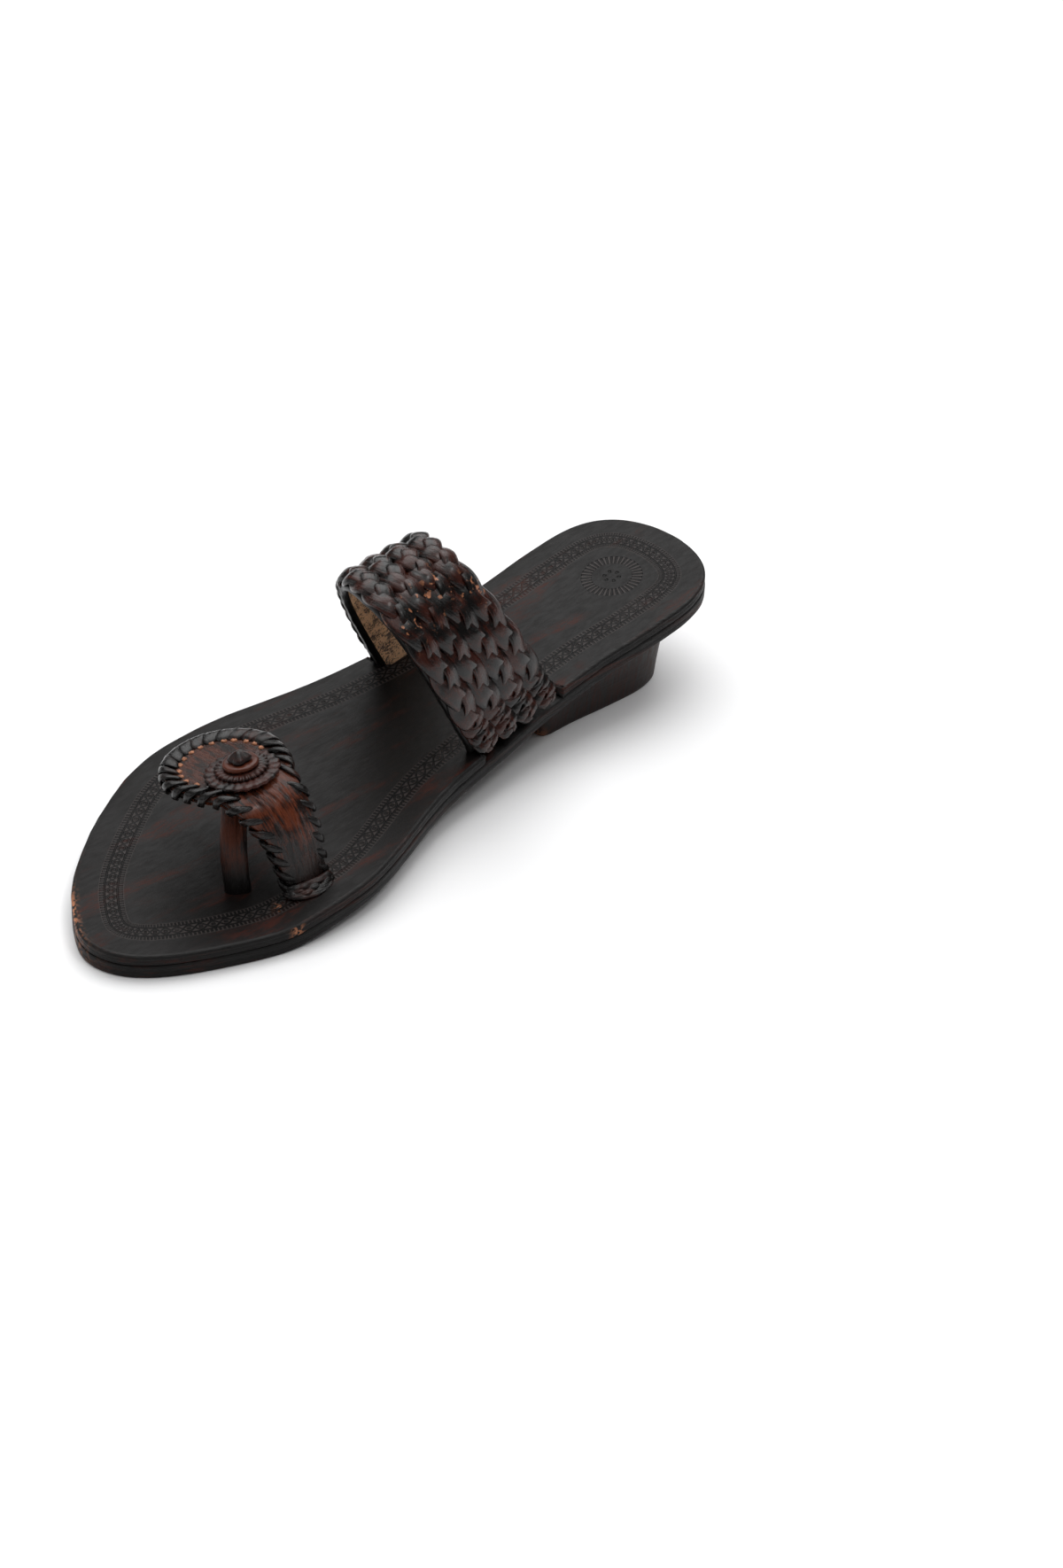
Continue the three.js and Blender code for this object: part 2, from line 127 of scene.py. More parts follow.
# ---- number helpers -------------------------------------------------------------------------
def lerp(a, b, t):
    return a + (b - a) * t


def clamp(x, low=0.0, high=1.0):
    return max(low, min(high, x))


def smooth(x, low=0.0, high=1.0):
    """Soft step from 0 at low to 1 at high."""
    t = clamp((x - low) / (high - low))
    return t * t * (3 - 2 * t)


def bell(x, middle, width):
    return math.exp(-(((x - middle) / width) ** 2))


def wobble(x, y, z, size, depth):
    """Repeatable hand-made unevenness, with bumps about size across."""
    return depth * noise.noise(Vector((x, y, z)) / size)


def column(rows, key, name, at):
    """Smooth value of one column of a table, which doesn't overshoot its rows."""
    last = len(rows) - 1
    x = clamp(at, rows[0][key], rows[last][key])
    i = 0
    while i < last - 1 and x > rows[i + 1][key]:
        i += 1

    def slope(k):
        return (rows[k + 1][name] - rows[k][name]) / (rows[k + 1][key] - rows[k][key])

    def tangent(k):
        if k <= 0:
            return slope(0)
        if k >= last:
            return slope(last - 1)
        before, after = slope(k - 1), slope(k)
        return 0 if before * after <= 0 else 2 * before * after / (before + after)

    span = rows[i + 1][key] - rows[i][key]
    t = (x - rows[i][key]) / span
    a, b = rows[i][name], rows[i + 1][name]
    bend = t * (1 - t) ** 2 * tangent(i) - t * t * (1 - t) * tangent(i + 1)
    return a + (b - a) * t * t * (3 - 2 * t) + span * bend


def curve_point(points, share):
    """Point of the centripetal curve through points, share from 0 to 1."""
    last = len(points) - 1
    at = clamp(share) * last
    i = min(int(at), last - 1)
    t = at - i
    p1, p2 = points[i], points[i + 1]
    p0 = points[i - 1] if i > 0 else p1 * 2 - p2
    p3 = points[i + 2] if i + 2 <= last else p2 * 2 - p1
    d0, d1, d2 = (math.sqrt((b - a).length) for a, b in ((p0, p1), (p1, p2), (p2, p3)))
    t1 = ((p1 - p0) / d0 - (p2 - p0) / (d0 + d1) + (p2 - p1) / d1) * d1
    t2 = ((p2 - p1) / d1 - (p3 - p1) / (d1 + d2) + (p3 - p2) / d2) * d1
    return p1 + t1 * t + (p2 * 3 - p1 * 3 - t1 * 2 - t2) * t ** 2 + (p1 * 2 - p2 * 2 + t1 + t2) * t ** 3


# ---- sole shape -----------------------------------------------------------------------------
def turn_at(along):
    return math.acos(clamp(1 - 2 * along / LENGTH, -1, 1))


SOLE_TURNS = [dict(row, turn=turn_at(row["along"])) for row in SOLE]


def sole_at(name, along):
    if name == "rise":
        return column(SOLE, "along", "rise", along)
    return column(SOLE_TURNS, "turn", name, turn_at(along))


def insole_bottom(along):
    return sole_at("rise", along) + OUTSOLE_THICK + FIT_GAP


def along_of(y):
    return y + LENGTH / 2


NOTCH_RAMP = 1.2


def notch_x(side, along, x):
    """The sole's edge x, stepped in to the strap's inner face where the strap stands."""
    front, back = STRAP_FRONT[side], STRAP_BACK[side]
    strap_x = lerp(front[0], back[0], clamp((along - front[1]) / (back[1] - front[1])))
    inner = strap_x - math.copysign(STRAP_HALF + FIT_GAP, strap_x)
    past_front = smooth(along, front[1] - 0.2, front[1] + NOTCH_RAMP)
    past_back = smooth(along, back[1] - NOTCH_RAMP, back[1] + 0.2)
    return lerp(x, inner, past_front * (1 - past_back))


def outline(notched):
    """Closed plan outline of the sole at even steps: medial side from toe to heel, then back."""
    steps, spacing, softness = 150, 0.8, 5.0
    alongs = [LENGTH * (1 - math.cos(math.pi * i / steps)) / 2 for i in range(steps + 1)]
    there = [(sole_at("medial", a), a) for a in alongs]
    back = [(sole_at("lateral", a), a) for a in reversed(alongs[1:-1])]
    loop = np.array(there + back + there[:1])
    run = np.r_[0, np.cumsum(np.linalg.norm(np.diff(loop, axis=0), axis=1))]
    count = round(run[-1] / spacing)
    even = np.linspace(0, run[-1], count, endpoint=False)
    loop = np.c_[np.interp(even, run, loop[:, 0]), np.interp(even, run, loop[:, 1])]
    reach = round(3 * softness / spacing)
    weights = np.exp(-0.5 * (np.arange(-reach, reach + 1) * spacing / softness) ** 2)
    weights /= weights.sum()
    loop = sum(w * np.roll(loop, k - reach, 0) for k, w in enumerate(weights))
    middle = (STRAP_FRONT["medial"][0] + STRAP_FRONT["lateral"][0]) / 2
    points = []
    for x, along in loop:
        side = "medial" if x > middle else "lateral"
        points.append((notch_x(side, along, x) if notched else x, along - LENGTH / 2))
    return np.array(points)


def inset(loop, distance):
    """Closed outline moved inwards by a small distance."""
    tangent = np.roll(loop, -1, 0) - np.roll(loop, 1, 0)
    tangent /= np.linalg.norm(tangent, axis=1)[:, None]
    return loop + np.c_[-tangent[:, 1], tangent[:, 0]] * distance


def spine(loop):
    """For each outline point, the point of the sole's middle line that its rows run to."""
    points = []
    for x, y in loop:
        along = lerp(34, LENGTH - 26, clamp(along_of(y) / LENGTH))
        middle = (sole_at("medial", along) + sole_at("lateral", along)) / 2
        points.append((middle, along - LENGTH / 2))
    return np.array(points)


def edge_coordinates(points, loop):
    """Run along the outline and distance from it, for each point, and the outline's length."""
    following = np.roll(loop, -1, 0)
    step = following - loop
    length = np.linalg.norm(step, axis=1)
    start = np.r_[0, np.cumsum(length)[:-1]]
    run, distance = [], []
    for part in np.array_split(points, max(1, len(points) // 1500)):
        offset = part[:, None, :] - loop[None]
        share = np.clip((offset * step).sum(2) / (length ** 2 + 1e-9), 0, 1)
        gap = np.linalg.norm(offset - share[..., None] * step, axis=2)
        nearest = gap.argmin(1)
        rows = np.arange(len(part))
        run.append(start[nearest] + share[rows, nearest] * length[nearest])
        distance.append(gap[rows, nearest])
    return np.concatenate(run), np.concatenate(distance), length.sum()


# ---- mesh helpers ---------------------------------------------------------------------------
def ring_faces(rows, columns):
    """Quads between closed rows of points, each row's last point joined to its first."""
    faces = []
    for r in range(rows - 1):
        for c in range(columns):
            n = (c + 1) % columns
            faces.append((r * columns + c, r * columns + n, (r + 1) * columns + n, (r + 1) * columns + c))
    return faces


def tube_faces(rows, columns):
    """A closed tube: quads along it and one face over each end."""
    ends = [tuple(reversed(range(columns))), tuple(range((rows - 1) * columns, rows * columns))]
    return ring_faces(rows, columns) + ends


class Piece:
    """Points in millimetres, faces, their material numbers and their coordinates, gathered into one mesh."""

    def __init__(self):
        self.points, self.faces, self.slots, self.uvs = [], [], [], []
        self.marks = []

    def add(self, points, faces, uvs=None, slot=0, slots=None, mark=0.0):
        base = len(self.points)
        self.points += [Vector(p) for p in points]
        self.faces += [tuple(i + base for i in face) for face in faces]
        self.slots += slots if slots else [slot] * len(faces)
        self.uvs += [tuple(uv) for uv in uvs] if uvs is not None else [(0.0, 0.0)] * len(points)
        self.marks += list(mark) if hasattr(mark, "__len__") else [mark] * len(points)

    def build(self, name, materials, material_slot, nodes, wrap=0.0, weld=False):
        mesh = bpy.data.meshes.new(name)
        mesh.from_pydata([tuple(p * MM) for p in self.points], [], self.faces)
        layer = mesh.uv_layers.new(name="Run")
        for polygon in mesh.polygons:
            polygon.material_index = self.slots[polygon.index]
            polygon.use_smooth = True
            us = [self.uvs[v][0] for v in polygon.vertices]
            for loop, v in zip(polygon.loop_indices, polygon.vertices):
                u = self.uvs[v][0]
                if wrap and max(us) - u > wrap / 2:
                    u += wrap
                layer.data[loop].uv = (u, self.uvs[v][1])
        marked = mesh.attributes.new("mark", "FLOAT", "POINT")
        marked.data.foreach_set("value", np.array(self.marks, np.float32))
        if weld:
            weld_points(mesh)
        mesh.validate()
        for material in materials:
            mesh.materials.append(material)
        piece = bpy.data.objects.new(name, mesh)
        bpy.context.scene.collection.objects.link(piece)
        turn_outwards(mesh)
        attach(piece, BODY)
        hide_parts(*nodes)


def weld_points(mesh):
    """Joins points that lie on each other, such as the rows that meet on the sole's middle line."""
    work = bmesh.new()
    work.from_mesh(mesh)
    bmesh.ops.remove_doubles(work, verts=work.verts, dist=0.02 * MM)
    work.to_mesh(mesh)
    work.free()


def turn_outwards(mesh):
    """Flips the mesh if its faces point inwards."""
    work = bmesh.new()
    work.from_mesh(mesh)
    bmesh.ops.recalc_face_normals(work, faces=work.faces)
    if work.calc_volume(signed=True) < 0:
        bmesh.ops.reverse_faces(work, faces=work.faces)
    work.to_mesh(mesh)
    work.free()


def soft_band(path, width_ways, half_widths, half_thicks, sides, round_power):
    """Points, faces and coordinates of a leather band along path, with a rounded flat section.

    Its width lies along width_ways; a larger round_power gives a squarer section.
    """
    points, uvs = [], []
    run = 0.0
    last = len(path) - 1
    for i, middle in enumerate(path):
        tangent = (path[min(i + 1, last)] - path[max(i - 1, 0)]).normalized()
        width = width_ways[i] - tangent * width_ways[i].dot(tangent)
        width.normalize()
        up = tangent.cross(width)
        if i:
            run += (middle - path[i - 1]).length
        a, b = half_widths[i], half_thicks[i]
        for k in range(sides):
            angle = 2 * math.pi * k / sides
            c, s = math.cos(angle), math.sin(angle)
            u = math.copysign(abs(c) ** (2 / round_power), c) * a
            v = math.copysign(abs(s) ** (2 / round_power), s) * b
            points.append(middle + width * u + up * v)
            uvs.append((run, k * (2 * (a + b)) / sides))
    return points, tube_faces(len(path), sides), uvs


# ---- shader helpers -------------------------------------------------------------------------
def node(tree, kind, inputs=None, **settings):
    """Adds one shader node; inputs are values, or sockets to link from."""
    made = tree.nodes.new(kind)
    for name, value in settings.items():
        setattr(made, name, value)
    for name, value in (inputs or {}).items():
        if isinstance(value, bpy.types.NodeSocket):
            tree.links.new(value, made.inputs[name])
        else:
            made.inputs[name].default_value = value
    return made


def maths(tree, operation, *values):
    made = node(tree, "ShaderNodeMath", dict(enumerate(values)), operation=operation)
    return made.outputs[0]


def times(tree, a, b):
    return maths(tree, "MULTIPLY", a, b)


def plus(tree, a, b):
    return maths(tree, "ADD", a, b)


def minus(tree, a, b):
    return maths(tree, "SUBTRACT", a, b)


def size_of(tree, a):
    return maths(tree, "ABSOLUTE", a)


def remap(tree, value, low, high, to_low=0.0, to_high=1.0):
    """Soft step of a value from to_low at low to to_high at high."""
    inputs = {"Value": value, "From Min": low, "From Max": high, "To Min": to_low, "To Max": to_high}
    return node(tree, "ShaderNodeMapRange", inputs, interpolation_type="SMOOTHSTEP").outputs[0]


def blend_colours(tree, factor, first, second):
    made = node(tree, "ShaderNodeMix", data_type="RGBA")
    for socket, value in ((made.inputs[0], factor), (made.inputs[6], first), (made.inputs[7], second)):
        if isinstance(value, bpy.types.NodeSocket):
            tree.links.new(value, socket)
        else:
            socket.default_value = value
    return made.outputs[2]


def new_group(name, inputs, outputs):
    """A shader node group with float inputs {name: default}; returns tree, input node, output node."""
    tree = bpy.data.node_groups.new(name, "ShaderNodeTree")
    for label, value in inputs.items():
        kind = "NodeSocketVector" if isinstance(value, tuple) else "NodeSocketFloat"
        socket = tree.interface.new_socket(name=label, in_out="INPUT", socket_type=kind)
        socket.default_value = value
    for label in outputs:
        tree.interface.new_socket(name=label, in_out="OUTPUT", socket_type="NodeSocketFloat")
    return tree, tree.nodes.new("NodeGroupInput"), tree.nodes.new("NodeGroupOutput")


def object_noise(tree, scale, stretch=(1, 1, 1), detail=4.0, rough=0.6, source="Object"):
    """Noise in the piece's own coordinates, scale in bumps per metre."""
    place = node(tree, "ShaderNodeTexCoord").outputs[source]
    mapped = node(tree, "ShaderNodeMapping", {"Vector": place, "Scale": stretch}).outputs[0]
    inputs = {"Vector": mapped, "Scale": scale, "Detail": detail, "Roughness": rough}
    return node(tree, "ShaderNodeTexNoise", inputs).outputs["Fac"]


def grain_group():
    """Leather's fine pores and soft creases."""
    tree, given, result = new_group(
        "Leather grain", {"Pores": 2200.0, "Creases": 260.0}, ("Height", "Patches")
    )
    place = node(tree, "ShaderNodeTexCoord").outputs["Object"]
    pores = node(tree, "ShaderNodeTexVoronoi", {"Vector": place, "Scale": given.outputs["Pores"]})
    creases = node(
        tree, "ShaderNodeTexNoise",
        {"Vector": place, "Scale": given.outputs["Creases"], "Detail": 6.0, "Roughness": 0.65},
    ).outputs["Fac"]
    height = plus(tree, times(tree, pores.outputs["Distance"], 0.35), creases)
    tree.links.new(height, result.inputs["Height"])
    tree.links.new(object_noise(tree, 55.0, detail=3.0), result.inputs["Patches"])
    return tree


BRUSH_TURN = math.radians(4)


def streak_group():
    """Brushed streaks, long in one direction, where the top dye is rubbed away."""
    tree, given, result = new_group(
        "Rubbed streaks", {"Stretch": (1.0, 0.12, 1.0), "Amount": 0.5, "Fineness": 420.0},
        ("Mask", "Brushing"),
    )
    place = node(tree, "ShaderNodeTexCoord").outputs["Object"]
    turned = node(tree, "ShaderNodeMapping", {"Vector": place, "Rotation": (0, 0, BRUSH_TURN)}).outputs[0]
    mapped = node(tree, "ShaderNodeMapping", {"Vector": turned})
    tree.links.new(given.outputs["Stretch"], mapped.inputs["Scale"])
    fine = node(
        tree, "ShaderNodeTexNoise",
        {"Vector": mapped.outputs[0], "Scale": given.outputs["Fineness"], "Detail": 7.0, "Roughness": 0.72},
    ).outputs["Fac"]
    broad = node(
        tree, "ShaderNodeTexNoise",
        {"Vector": mapped.outputs[0], "Scale": 110.0, "Detail": 3.0, "Roughness": 0.55},
    ).outputs["Fac"]
    start = minus(tree, 0.72, times(tree, given.outputs["Amount"], 0.3))
    patches = remap(tree, broad, start, plus(tree, start, 0.16))
    strokes = remap(tree, fine, 0.44, 0.58, 0.12, 1.0)
    tree.links.new(times(tree, patches, strokes), result.inputs["Mask"])
    tree.links.new(fine, result.inputs["Brushing"])
    return tree


def tooling_group():
    """The stamped border: a chain of diamonds between two rules and two rows of short ticks.

    It is read off the Run coordinates: millimetres along the sole's edge and in from it.
    """
    tree, given, result = new_group(
        "Stamped border",
        {"Start": 8.0, "Tick pitch": DIAMOND_PITCH / TICKS_PER_DIAMOND, "Diamond pitch": DIAMOND_PITCH},
        ("Height", "Band"),
    )
    run_map = node(tree, "ShaderNodeUVMap", uv_map="Run").outputs[0]
    split = node(tree, "ShaderNodeSeparateXYZ", {"Vector": run_map})
    run = split.outputs[0]
    depth = minus(tree, split.outputs[1], given.outputs["Start"])

    def line(value, middle, half, soft):
        away = size_of(tree, minus(tree, value, middle))
        return remap(tree, away, half, half + soft, 1.0, 0.0)

    ticks = maths(tree, "FRACT", maths(tree, "DIVIDE", run, given.outputs["Tick pitch"]))
    ticks = line(ticks, 0.5, 0.2, 0.14)
    outer = times(tree, ticks, line(depth, OUTER_TICKS, TICK_HALF, GROOVE_SOFT))
    inner = times(tree, ticks, line(depth, INNER_TICKS, TICK_HALF, GROOVE_SOFT))
    diamonds = maths(tree, "DIVIDE", run, given.outputs["Diamond pitch"])
    wave = maths(tree, "SINE", times(tree, diamonds, math.pi))
    reach = times(tree, size_of(tree, wave), CHAIN_REACH)
    off = size_of(tree, minus(tree, depth, CHAIN))
    chain = line(minus(tree, off, reach), 0.0, CHAIN_HALF, GROOVE_SOFT)
    widest = remap(tree, size_of(tree, wave), 0.8, 0.97)
    bead = times(tree, line(off, 0.0, 0.3, 0.5), widest)
    rules = [line(depth, middle, RULE_HALF, GROOVE_SOFT) for middle in (OUTER_RULE, INNER_RULE)]
    total = plus(tree, plus(tree, outer, inner), plus(tree, chain, plus(tree, *rules)))
    total = plus(tree, total, times(tree, bead, 0.6))
    uneven = remap(tree, object_noise(tree, 60.0, detail=2.0), 0.3, 0.55, 0.5, 1.0)
    pressed = times(tree, total, uneven)
    tree.links.new(times(tree, pressed, -1.0), result.inputs["Height"])
    tree.links.new(line(depth, CHAIN, BAND_HALF, 0.6), result.inputs["Band"])
    return tree


def heel_ring_group():
    """Ring of stamped ticks pointing to a centre, with a plain ring of dots inside it."""
    centre = (HEEL_STAMP["centre"][0] * MM, HEEL_STAMP["centre"][1] * MM, 0.0)
    tree, given, result = new_group(
        "Stamped ring",
        {"Centre": centre, "Inner": HEEL_STAMP["inner"] * MM, "Outer": HEEL_STAMP["outer"] * MM},
        ("Height", "Band"),
    )
    soft = 0.3 * MM
    place = node(tree, "ShaderNodeTexCoord").outputs["Object"]
    offset = {0: place, 1: given.outputs["Centre"]}
    away = node(tree, "ShaderNodeVectorMath", offset, operation="SUBTRACT").outputs[0]
    split = node(tree, "ShaderNodeSeparateXYZ", {"Vector": away})
    x, y = split.outputs[0], split.outputs[1]
    radius = maths(tree, "SQRT", plus(tree, times(tree, x, x), times(tree, y, y)))
    angle = maths(tree, "ARCTAN2", y, x)

    def spokes(count, low, high):
        part = maths(tree, "FRACT", times(tree, angle, count / (2 * math.pi)))
        return remap(tree, size_of(tree, minus(tree, part, 0.5)), low, high, 1.0, 0.0)

    inner, outer = given.outputs["Inner"], given.outputs["Outer"]
    inside = remap(tree, radius, minus(tree, inner, soft), inner)
    outside = remap(tree, radius, outer, plus(tree, outer, soft), 1.0, 0.0)
    ring = times(tree, spokes(HEEL_STAMP["ticks"], 0.14, 0.3), times(tree, inside, outside))
    tree.links.new(times(tree, inside, outside), result.inputs["Band"])
    off_dots = size_of(tree, minus(tree, radius, HEEL_STAMP["dots"] * MM))
    dot_ring = remap(tree, off_dots, soft, 0.7 * MM, 1.0, 0.0)
    dots = times(tree, spokes(HEEL_STAMP["dot_count"], 0.1, 0.22), dot_ring)
    tree.links.new(times(tree, plus(tree, ring, dots), -1.0), result.inputs["Height"])
    return tree


GROUPS = {}


def use_group(tree, name, **values):
    """Places one of the shared effects in a material, with its own values."""
    made = node(tree, "ShaderNodeGroup", node_tree=GROUPS[name])
    for label, value in values.items():
        made.inputs[label.replace("_", " ")].default_value = value
    return made


def colour(rgb):
    return (rgb[0], rgb[1], rgb[2], 1.0)


def shade(rgb, strength):
    """A lighter or darker colour of the same hue."""
    return colour([c * strength for c in rgb])


def new_material(name, roughness=0.4, coat=0.0, coat_roughness=0.3, specular=0.5, sheen=0.0):
    material = bpy.data.materials.new(name)
    material.use_nodes = True
    tree = material.node_tree
    tree.nodes.clear()
    shader = node(
        tree, "ShaderNodeBsdfPrincipled",
        {"Roughness": roughness, "Coat Weight": coat, "Coat Roughness": coat_roughness,
         "Specular IOR Level": specular, "Sheen Weight": sheen},
    )
    output = node(tree, "ShaderNodeOutputMaterial")
    tree.links.new(shader.outputs[0], output.inputs[0])
    return material, tree, shader


def raise_surface(tree, shader, height, strength, distance):
    """Bump, distance in millimetres, under whatever bump is already there."""
    inputs = {"Height": height, "Strength": strength, "Distance": distance * MM}
    bump = node(tree, "ShaderNodeBump", inputs)
    if shader.inputs["Normal"].is_linked:
        tree.links.new(shader.inputs["Normal"].links[0].from_socket, bump.inputs["Normal"])
    tree.links.new(bump.outputs[0], shader.inputs["Normal"])


def dress(tree, shader, base, rough, *bumps):
    """Links a material's colour, roughness and bumps; a bump is (height, strength, millimetres)."""
    tree.links.new(base, shader.inputs["Base Color"])
    tree.links.new(rough, shader.inputs["Roughness"])
    for height, strength, distance in bumps:
        raise_surface(tree, shader, height, strength, distance)


# ---- settings that a user would change ------------------------------------------------------
def size_property(label, text, value):
    return bpy.props.FloatProperty(name=label, description=text, default=value * MM, unit="LENGTH", min=0.0)


def colour_property(label, text, value):
    return bpy.props.FloatVectorProperty(
        name=label, description=text, default=value, subtype="COLOR", size=3, min=0.0, max=1.0
    )


class SandalSizes(bpy.types.PropertyGroup):
    leaf_pitch: size_property("Leaf pitch", "Length of one leaf of a braid past the crown", 7.2)
    long_pitch: size_property("Long pitch", "Length of one leaf on the big-toe side's flank", 12.5)
    tight_pitch: size_property("Tight pitch", "Length of one leaf at a braid's ends", 3.1)
    lacing_pitch: size_property("Lacing pitch", "Step of the whip stitch round the toe strap", 5.0)
    lacing_width: size_property("Lacing width", "Width of the whip stitch's thong", 4.9)
    border_start: size_property("Border inset", "Distance of the stamped border from the edge", 8.2)


class SandalColours(bpy.types.PropertyGroup):
    dark: colour_property("Dark leather", "Top dye of the leather", (0.0048, 0.0040, 0.0038))
    rubbed: colour_property("Rubbed leather", "Red-brown under the top dye", (0.036, 0.0078, 0.0042))
    bright: colour_property("Bright leather", "Warm red-brown of the toe strap", (0.115, 0.026, 0.0095))
    edge: colour_property("Edge dressing", "Black of the dressed edges", (0.0052, 0.0047, 0.0045))
    scuff: colour_property("Scuffed leather", "Bare tan leather where the dye is gone", (0.42, 0.17, 0.085))
    suede: colour_property("Suede", "Raw inner side of the instep strap", (0.42, 0.23, 0.125))
    floor: colour_property("Floor", "Plain floor that the sandal stands on", (0.92, 0.92, 0.925))


# ---- materials ------------------------------------------------------------------------------
def scuffed(tree, base, scuff, low, high, scale):
    """Tan flecks on the marked places, where noise of that scale rises from low to high."""
    flecks = remap(tree, object_noise(tree, scale, detail=3.0, rough=0.55), low, high)
    mark = node(tree, "ShaderNodeAttribute", attribute_name="mark").outputs["Fac"]
    return blend_colours(tree, times(tree, flecks, mark), base, colour(scuff))


def painted_arris_highlight(tree, base):
    """Painted highlight: a thin paler line along the sole's top edge, where light catches the rounded arris.
    """
    run_map = node(tree, "ShaderNodeUVMap", uv_map="Run").outputs[0]
    away = node(tree, "ShaderNodeSeparateXYZ", {"Vector": run_map}).outputs[1]
    line = remap(tree, size_of(tree, minus(tree, away, 0.55)), 0.15, 0.6, 1.0, 0.0)
    uneven = remap(tree, object_noise(tree, 180.0, detail=3.0), 0.38, 0.6)
    return blend_colours(tree, times(tree, line, uneven), base, colour((0.1, 0.09, 0.084)))


def footbed_material(sizes, colours):
    material, tree, shader = new_material(
        "Tooled footbed leather", coat=0.03, coat_roughness=0.42, specular=0.125
    )
    streaks = use_group(tree, "streaks", Amount=0.72, Stretch=(1.0, 0.2, 1.0), Fineness=780.0)
    grain = use_group(tree, "grain", Pores=2600.0, Creases=320.0)
    border = use_group(tree, "border", Start=sizes.border_start / MM)
    ring = use_group(tree, "ring")
    base = blend_colours(tree, streaks.outputs["Mask"], colour(colours.dark), colour(colours.rubbed))
    patch = remap(tree, grain.outputs["Patches"], 0.35, 0.7, 0.0, 0.45)
    pressed = plus(tree, border.outputs[0], ring.outputs[0])
    # Painted shade: the stamped grooves of the border and the heel ring are darkened.
    painted_groove_shade = remap(tree, pressed, -1.0, -0.5, 0.7, 0.0)
    base = blend_colours(tree, painted_groove_shade, base, shade(colours.dark, 0.4))
    # Painted highlight: within the border and the heel ring, the raised leather between the grooves is made
    # paler.
    stamped = maths(tree, "MAXIMUM", border.outputs["Band"], ring.outputs["Band"])
    painted_band_highlight = times(tree, stamped, remap(tree, pressed, -0.5, 0.0, 0.0, 0.75))
    base = blend_colours(tree, painted_band_highlight, base, shade(colours.dark, 9.0))
    # painted highlight along the footbed's top edge
    base = painted_arris_highlight(tree, base)
    base = scuffed(tree, base, colours.scuff, 0.5, 0.56, 620.0)
    brushing = streaks.outputs["Brushing"]
    rough = plus(tree, remap(tree, brushing, 0.3, 0.7, 0.36, 0.56), times(tree, patch, 0.1))
    dress(
        tree, shader, base, rough,
        (pressed, 1.0, 0.8), (brushing, 0.5, 0.35), (grain.outputs["Height"], 0.35, 0.12),
    )
    return material


def edge_material(colours):
    material, tree, shader = new_material("Dressed sole edge", coat=0.06, coat_roughness=0.35, specular=0.15)
    streaks = use_group(tree, "streaks", Amount=0.75, Stretch=(1.0, 0.12, 3.2), Fineness=520.0)
    grain = use_group(tree, "grain", Pores=1800.0, Creases=420.0)
    base = blend_colours(
        tree, streaks.outputs["Mask"], colour(colours.edge), shade(colours.rubbed, 0.8)
    )
    fibres = object_noise(tree, 700.0, (0.4, 0.12, 5.0), detail=5.0)
    pale_fibres = remap(tree, fibres, 0.55, 0.75, 0.0, 0.5)
    base = blend_colours(tree, pale_fibres, base, shade(colours.edge, 2.2))
    base = scuffed(tree, base, colours.scuff, 0.46, 0.54, 700.0)
    rough = remap(tree, fibres, 0.3, 0.7, 0.36, 0.6)
    dress(tree, shader, base, rough, (fibres, 0.7, 0.5), (grain.outputs["Height"], 0.5, 0.25))
    return material


def heel_material(colours):
    material, tree, shader = new_material(
        "Stacked heel leather", coat=0.03, coat_roughness=0.5, specular=0.25
    )
    upright = object_noise(tree, 900.0, (1.0, 1.0, 0.07), detail=5.0)
    lifts = object_noise(tree, 420.0, (0.05, 0.05, 1.0), detail=2.0)
    warm = colour([a * 0.5 + b * 0.75 for a, b in zip(colours.dark, colours.rubbed)])
    base = blend_colours(tree, remap(tree, upright, 0.35, 0.7), shade(colours.dark, 1.15), warm)
    seams = remap(tree, lifts, 0.5, 0.68, 0.0, 0.5)
    base = blend_colours(tree, seams, base, shade(colours.dark, 0.6))
    base = scuffed(tree, base, colours.scuff, 0.42, 0.5, 600.0)
    rough = remap(tree, upright, 0.3, 0.7, 0.42, 0.6)
    dress(tree, shader, base, rough, (upright, 0.6, 0.25), (lifts, 0.5, 0.25))
    return material


def band_leather(
    name, dark, warm, colours, warmth=(0.45, 0.62), gloss=(0.22, 0.42), coat=0.5, crease=0.5,
    marked=False, warm_mark=False,
):
    """Polished strip leather: lengthwise creases off the run, warm where the dye is thin.

    The mark on the mesh shows tan scuff flecks when marked, or, when warm_mark, scales how much warm colour
    shows.
    """
    material, tree, shader = new_material(name, coat=coat * 0.4, coat_roughness=0.2, specular=0.2)
    run_map = node(tree, "ShaderNodeUVMap", uv_map="Run").outputs[0]
    mapped = node(tree, "ShaderNodeMapping", {"Vector": run_map, "Scale": (0.13, 1.1, 1.0)}).outputs[0]
    creases = node(
        tree, "ShaderNodeTexNoise", {"Vector": mapped, "Scale": 1.0, "Detail": 5.0, "Roughness": 0.6}
    ).outputs["Fac"]
    grain = use_group(tree, "grain", Pores=2400.0, Creases=420.0)
    patches = object_noise(tree, 120.0, detail=3.0)
    both = plus(tree, times(tree, creases, 0.45), times(tree, patches, 0.55))
    warm_share = remap(tree, both, *warmth)
    # With warm_mark the mark scales the warm colour; where it is low the leather stays dark, which on the
    # post is painted shade.
    if warm_mark:
        mark = node(tree, "ShaderNodeAttribute", attribute_name="mark").outputs["Fac"]
        warm_share = times(tree, mark, remap(tree, both, warmth[0], warmth[1], 0.05, 1.0))
    base = blend_colours(tree, warm_share, colour(dark), colour(warm))
    if marked:
        base = scuffed(tree, base, colours.scuff, 0.6, 0.64, 420.0)
    rough = remap(tree, both, 0.35, 0.65, *gloss)
    dress(tree, shader, base, rough, (creases, crease, 0.75), (grain.outputs["Height"], 0.15, 0.12))
    return material


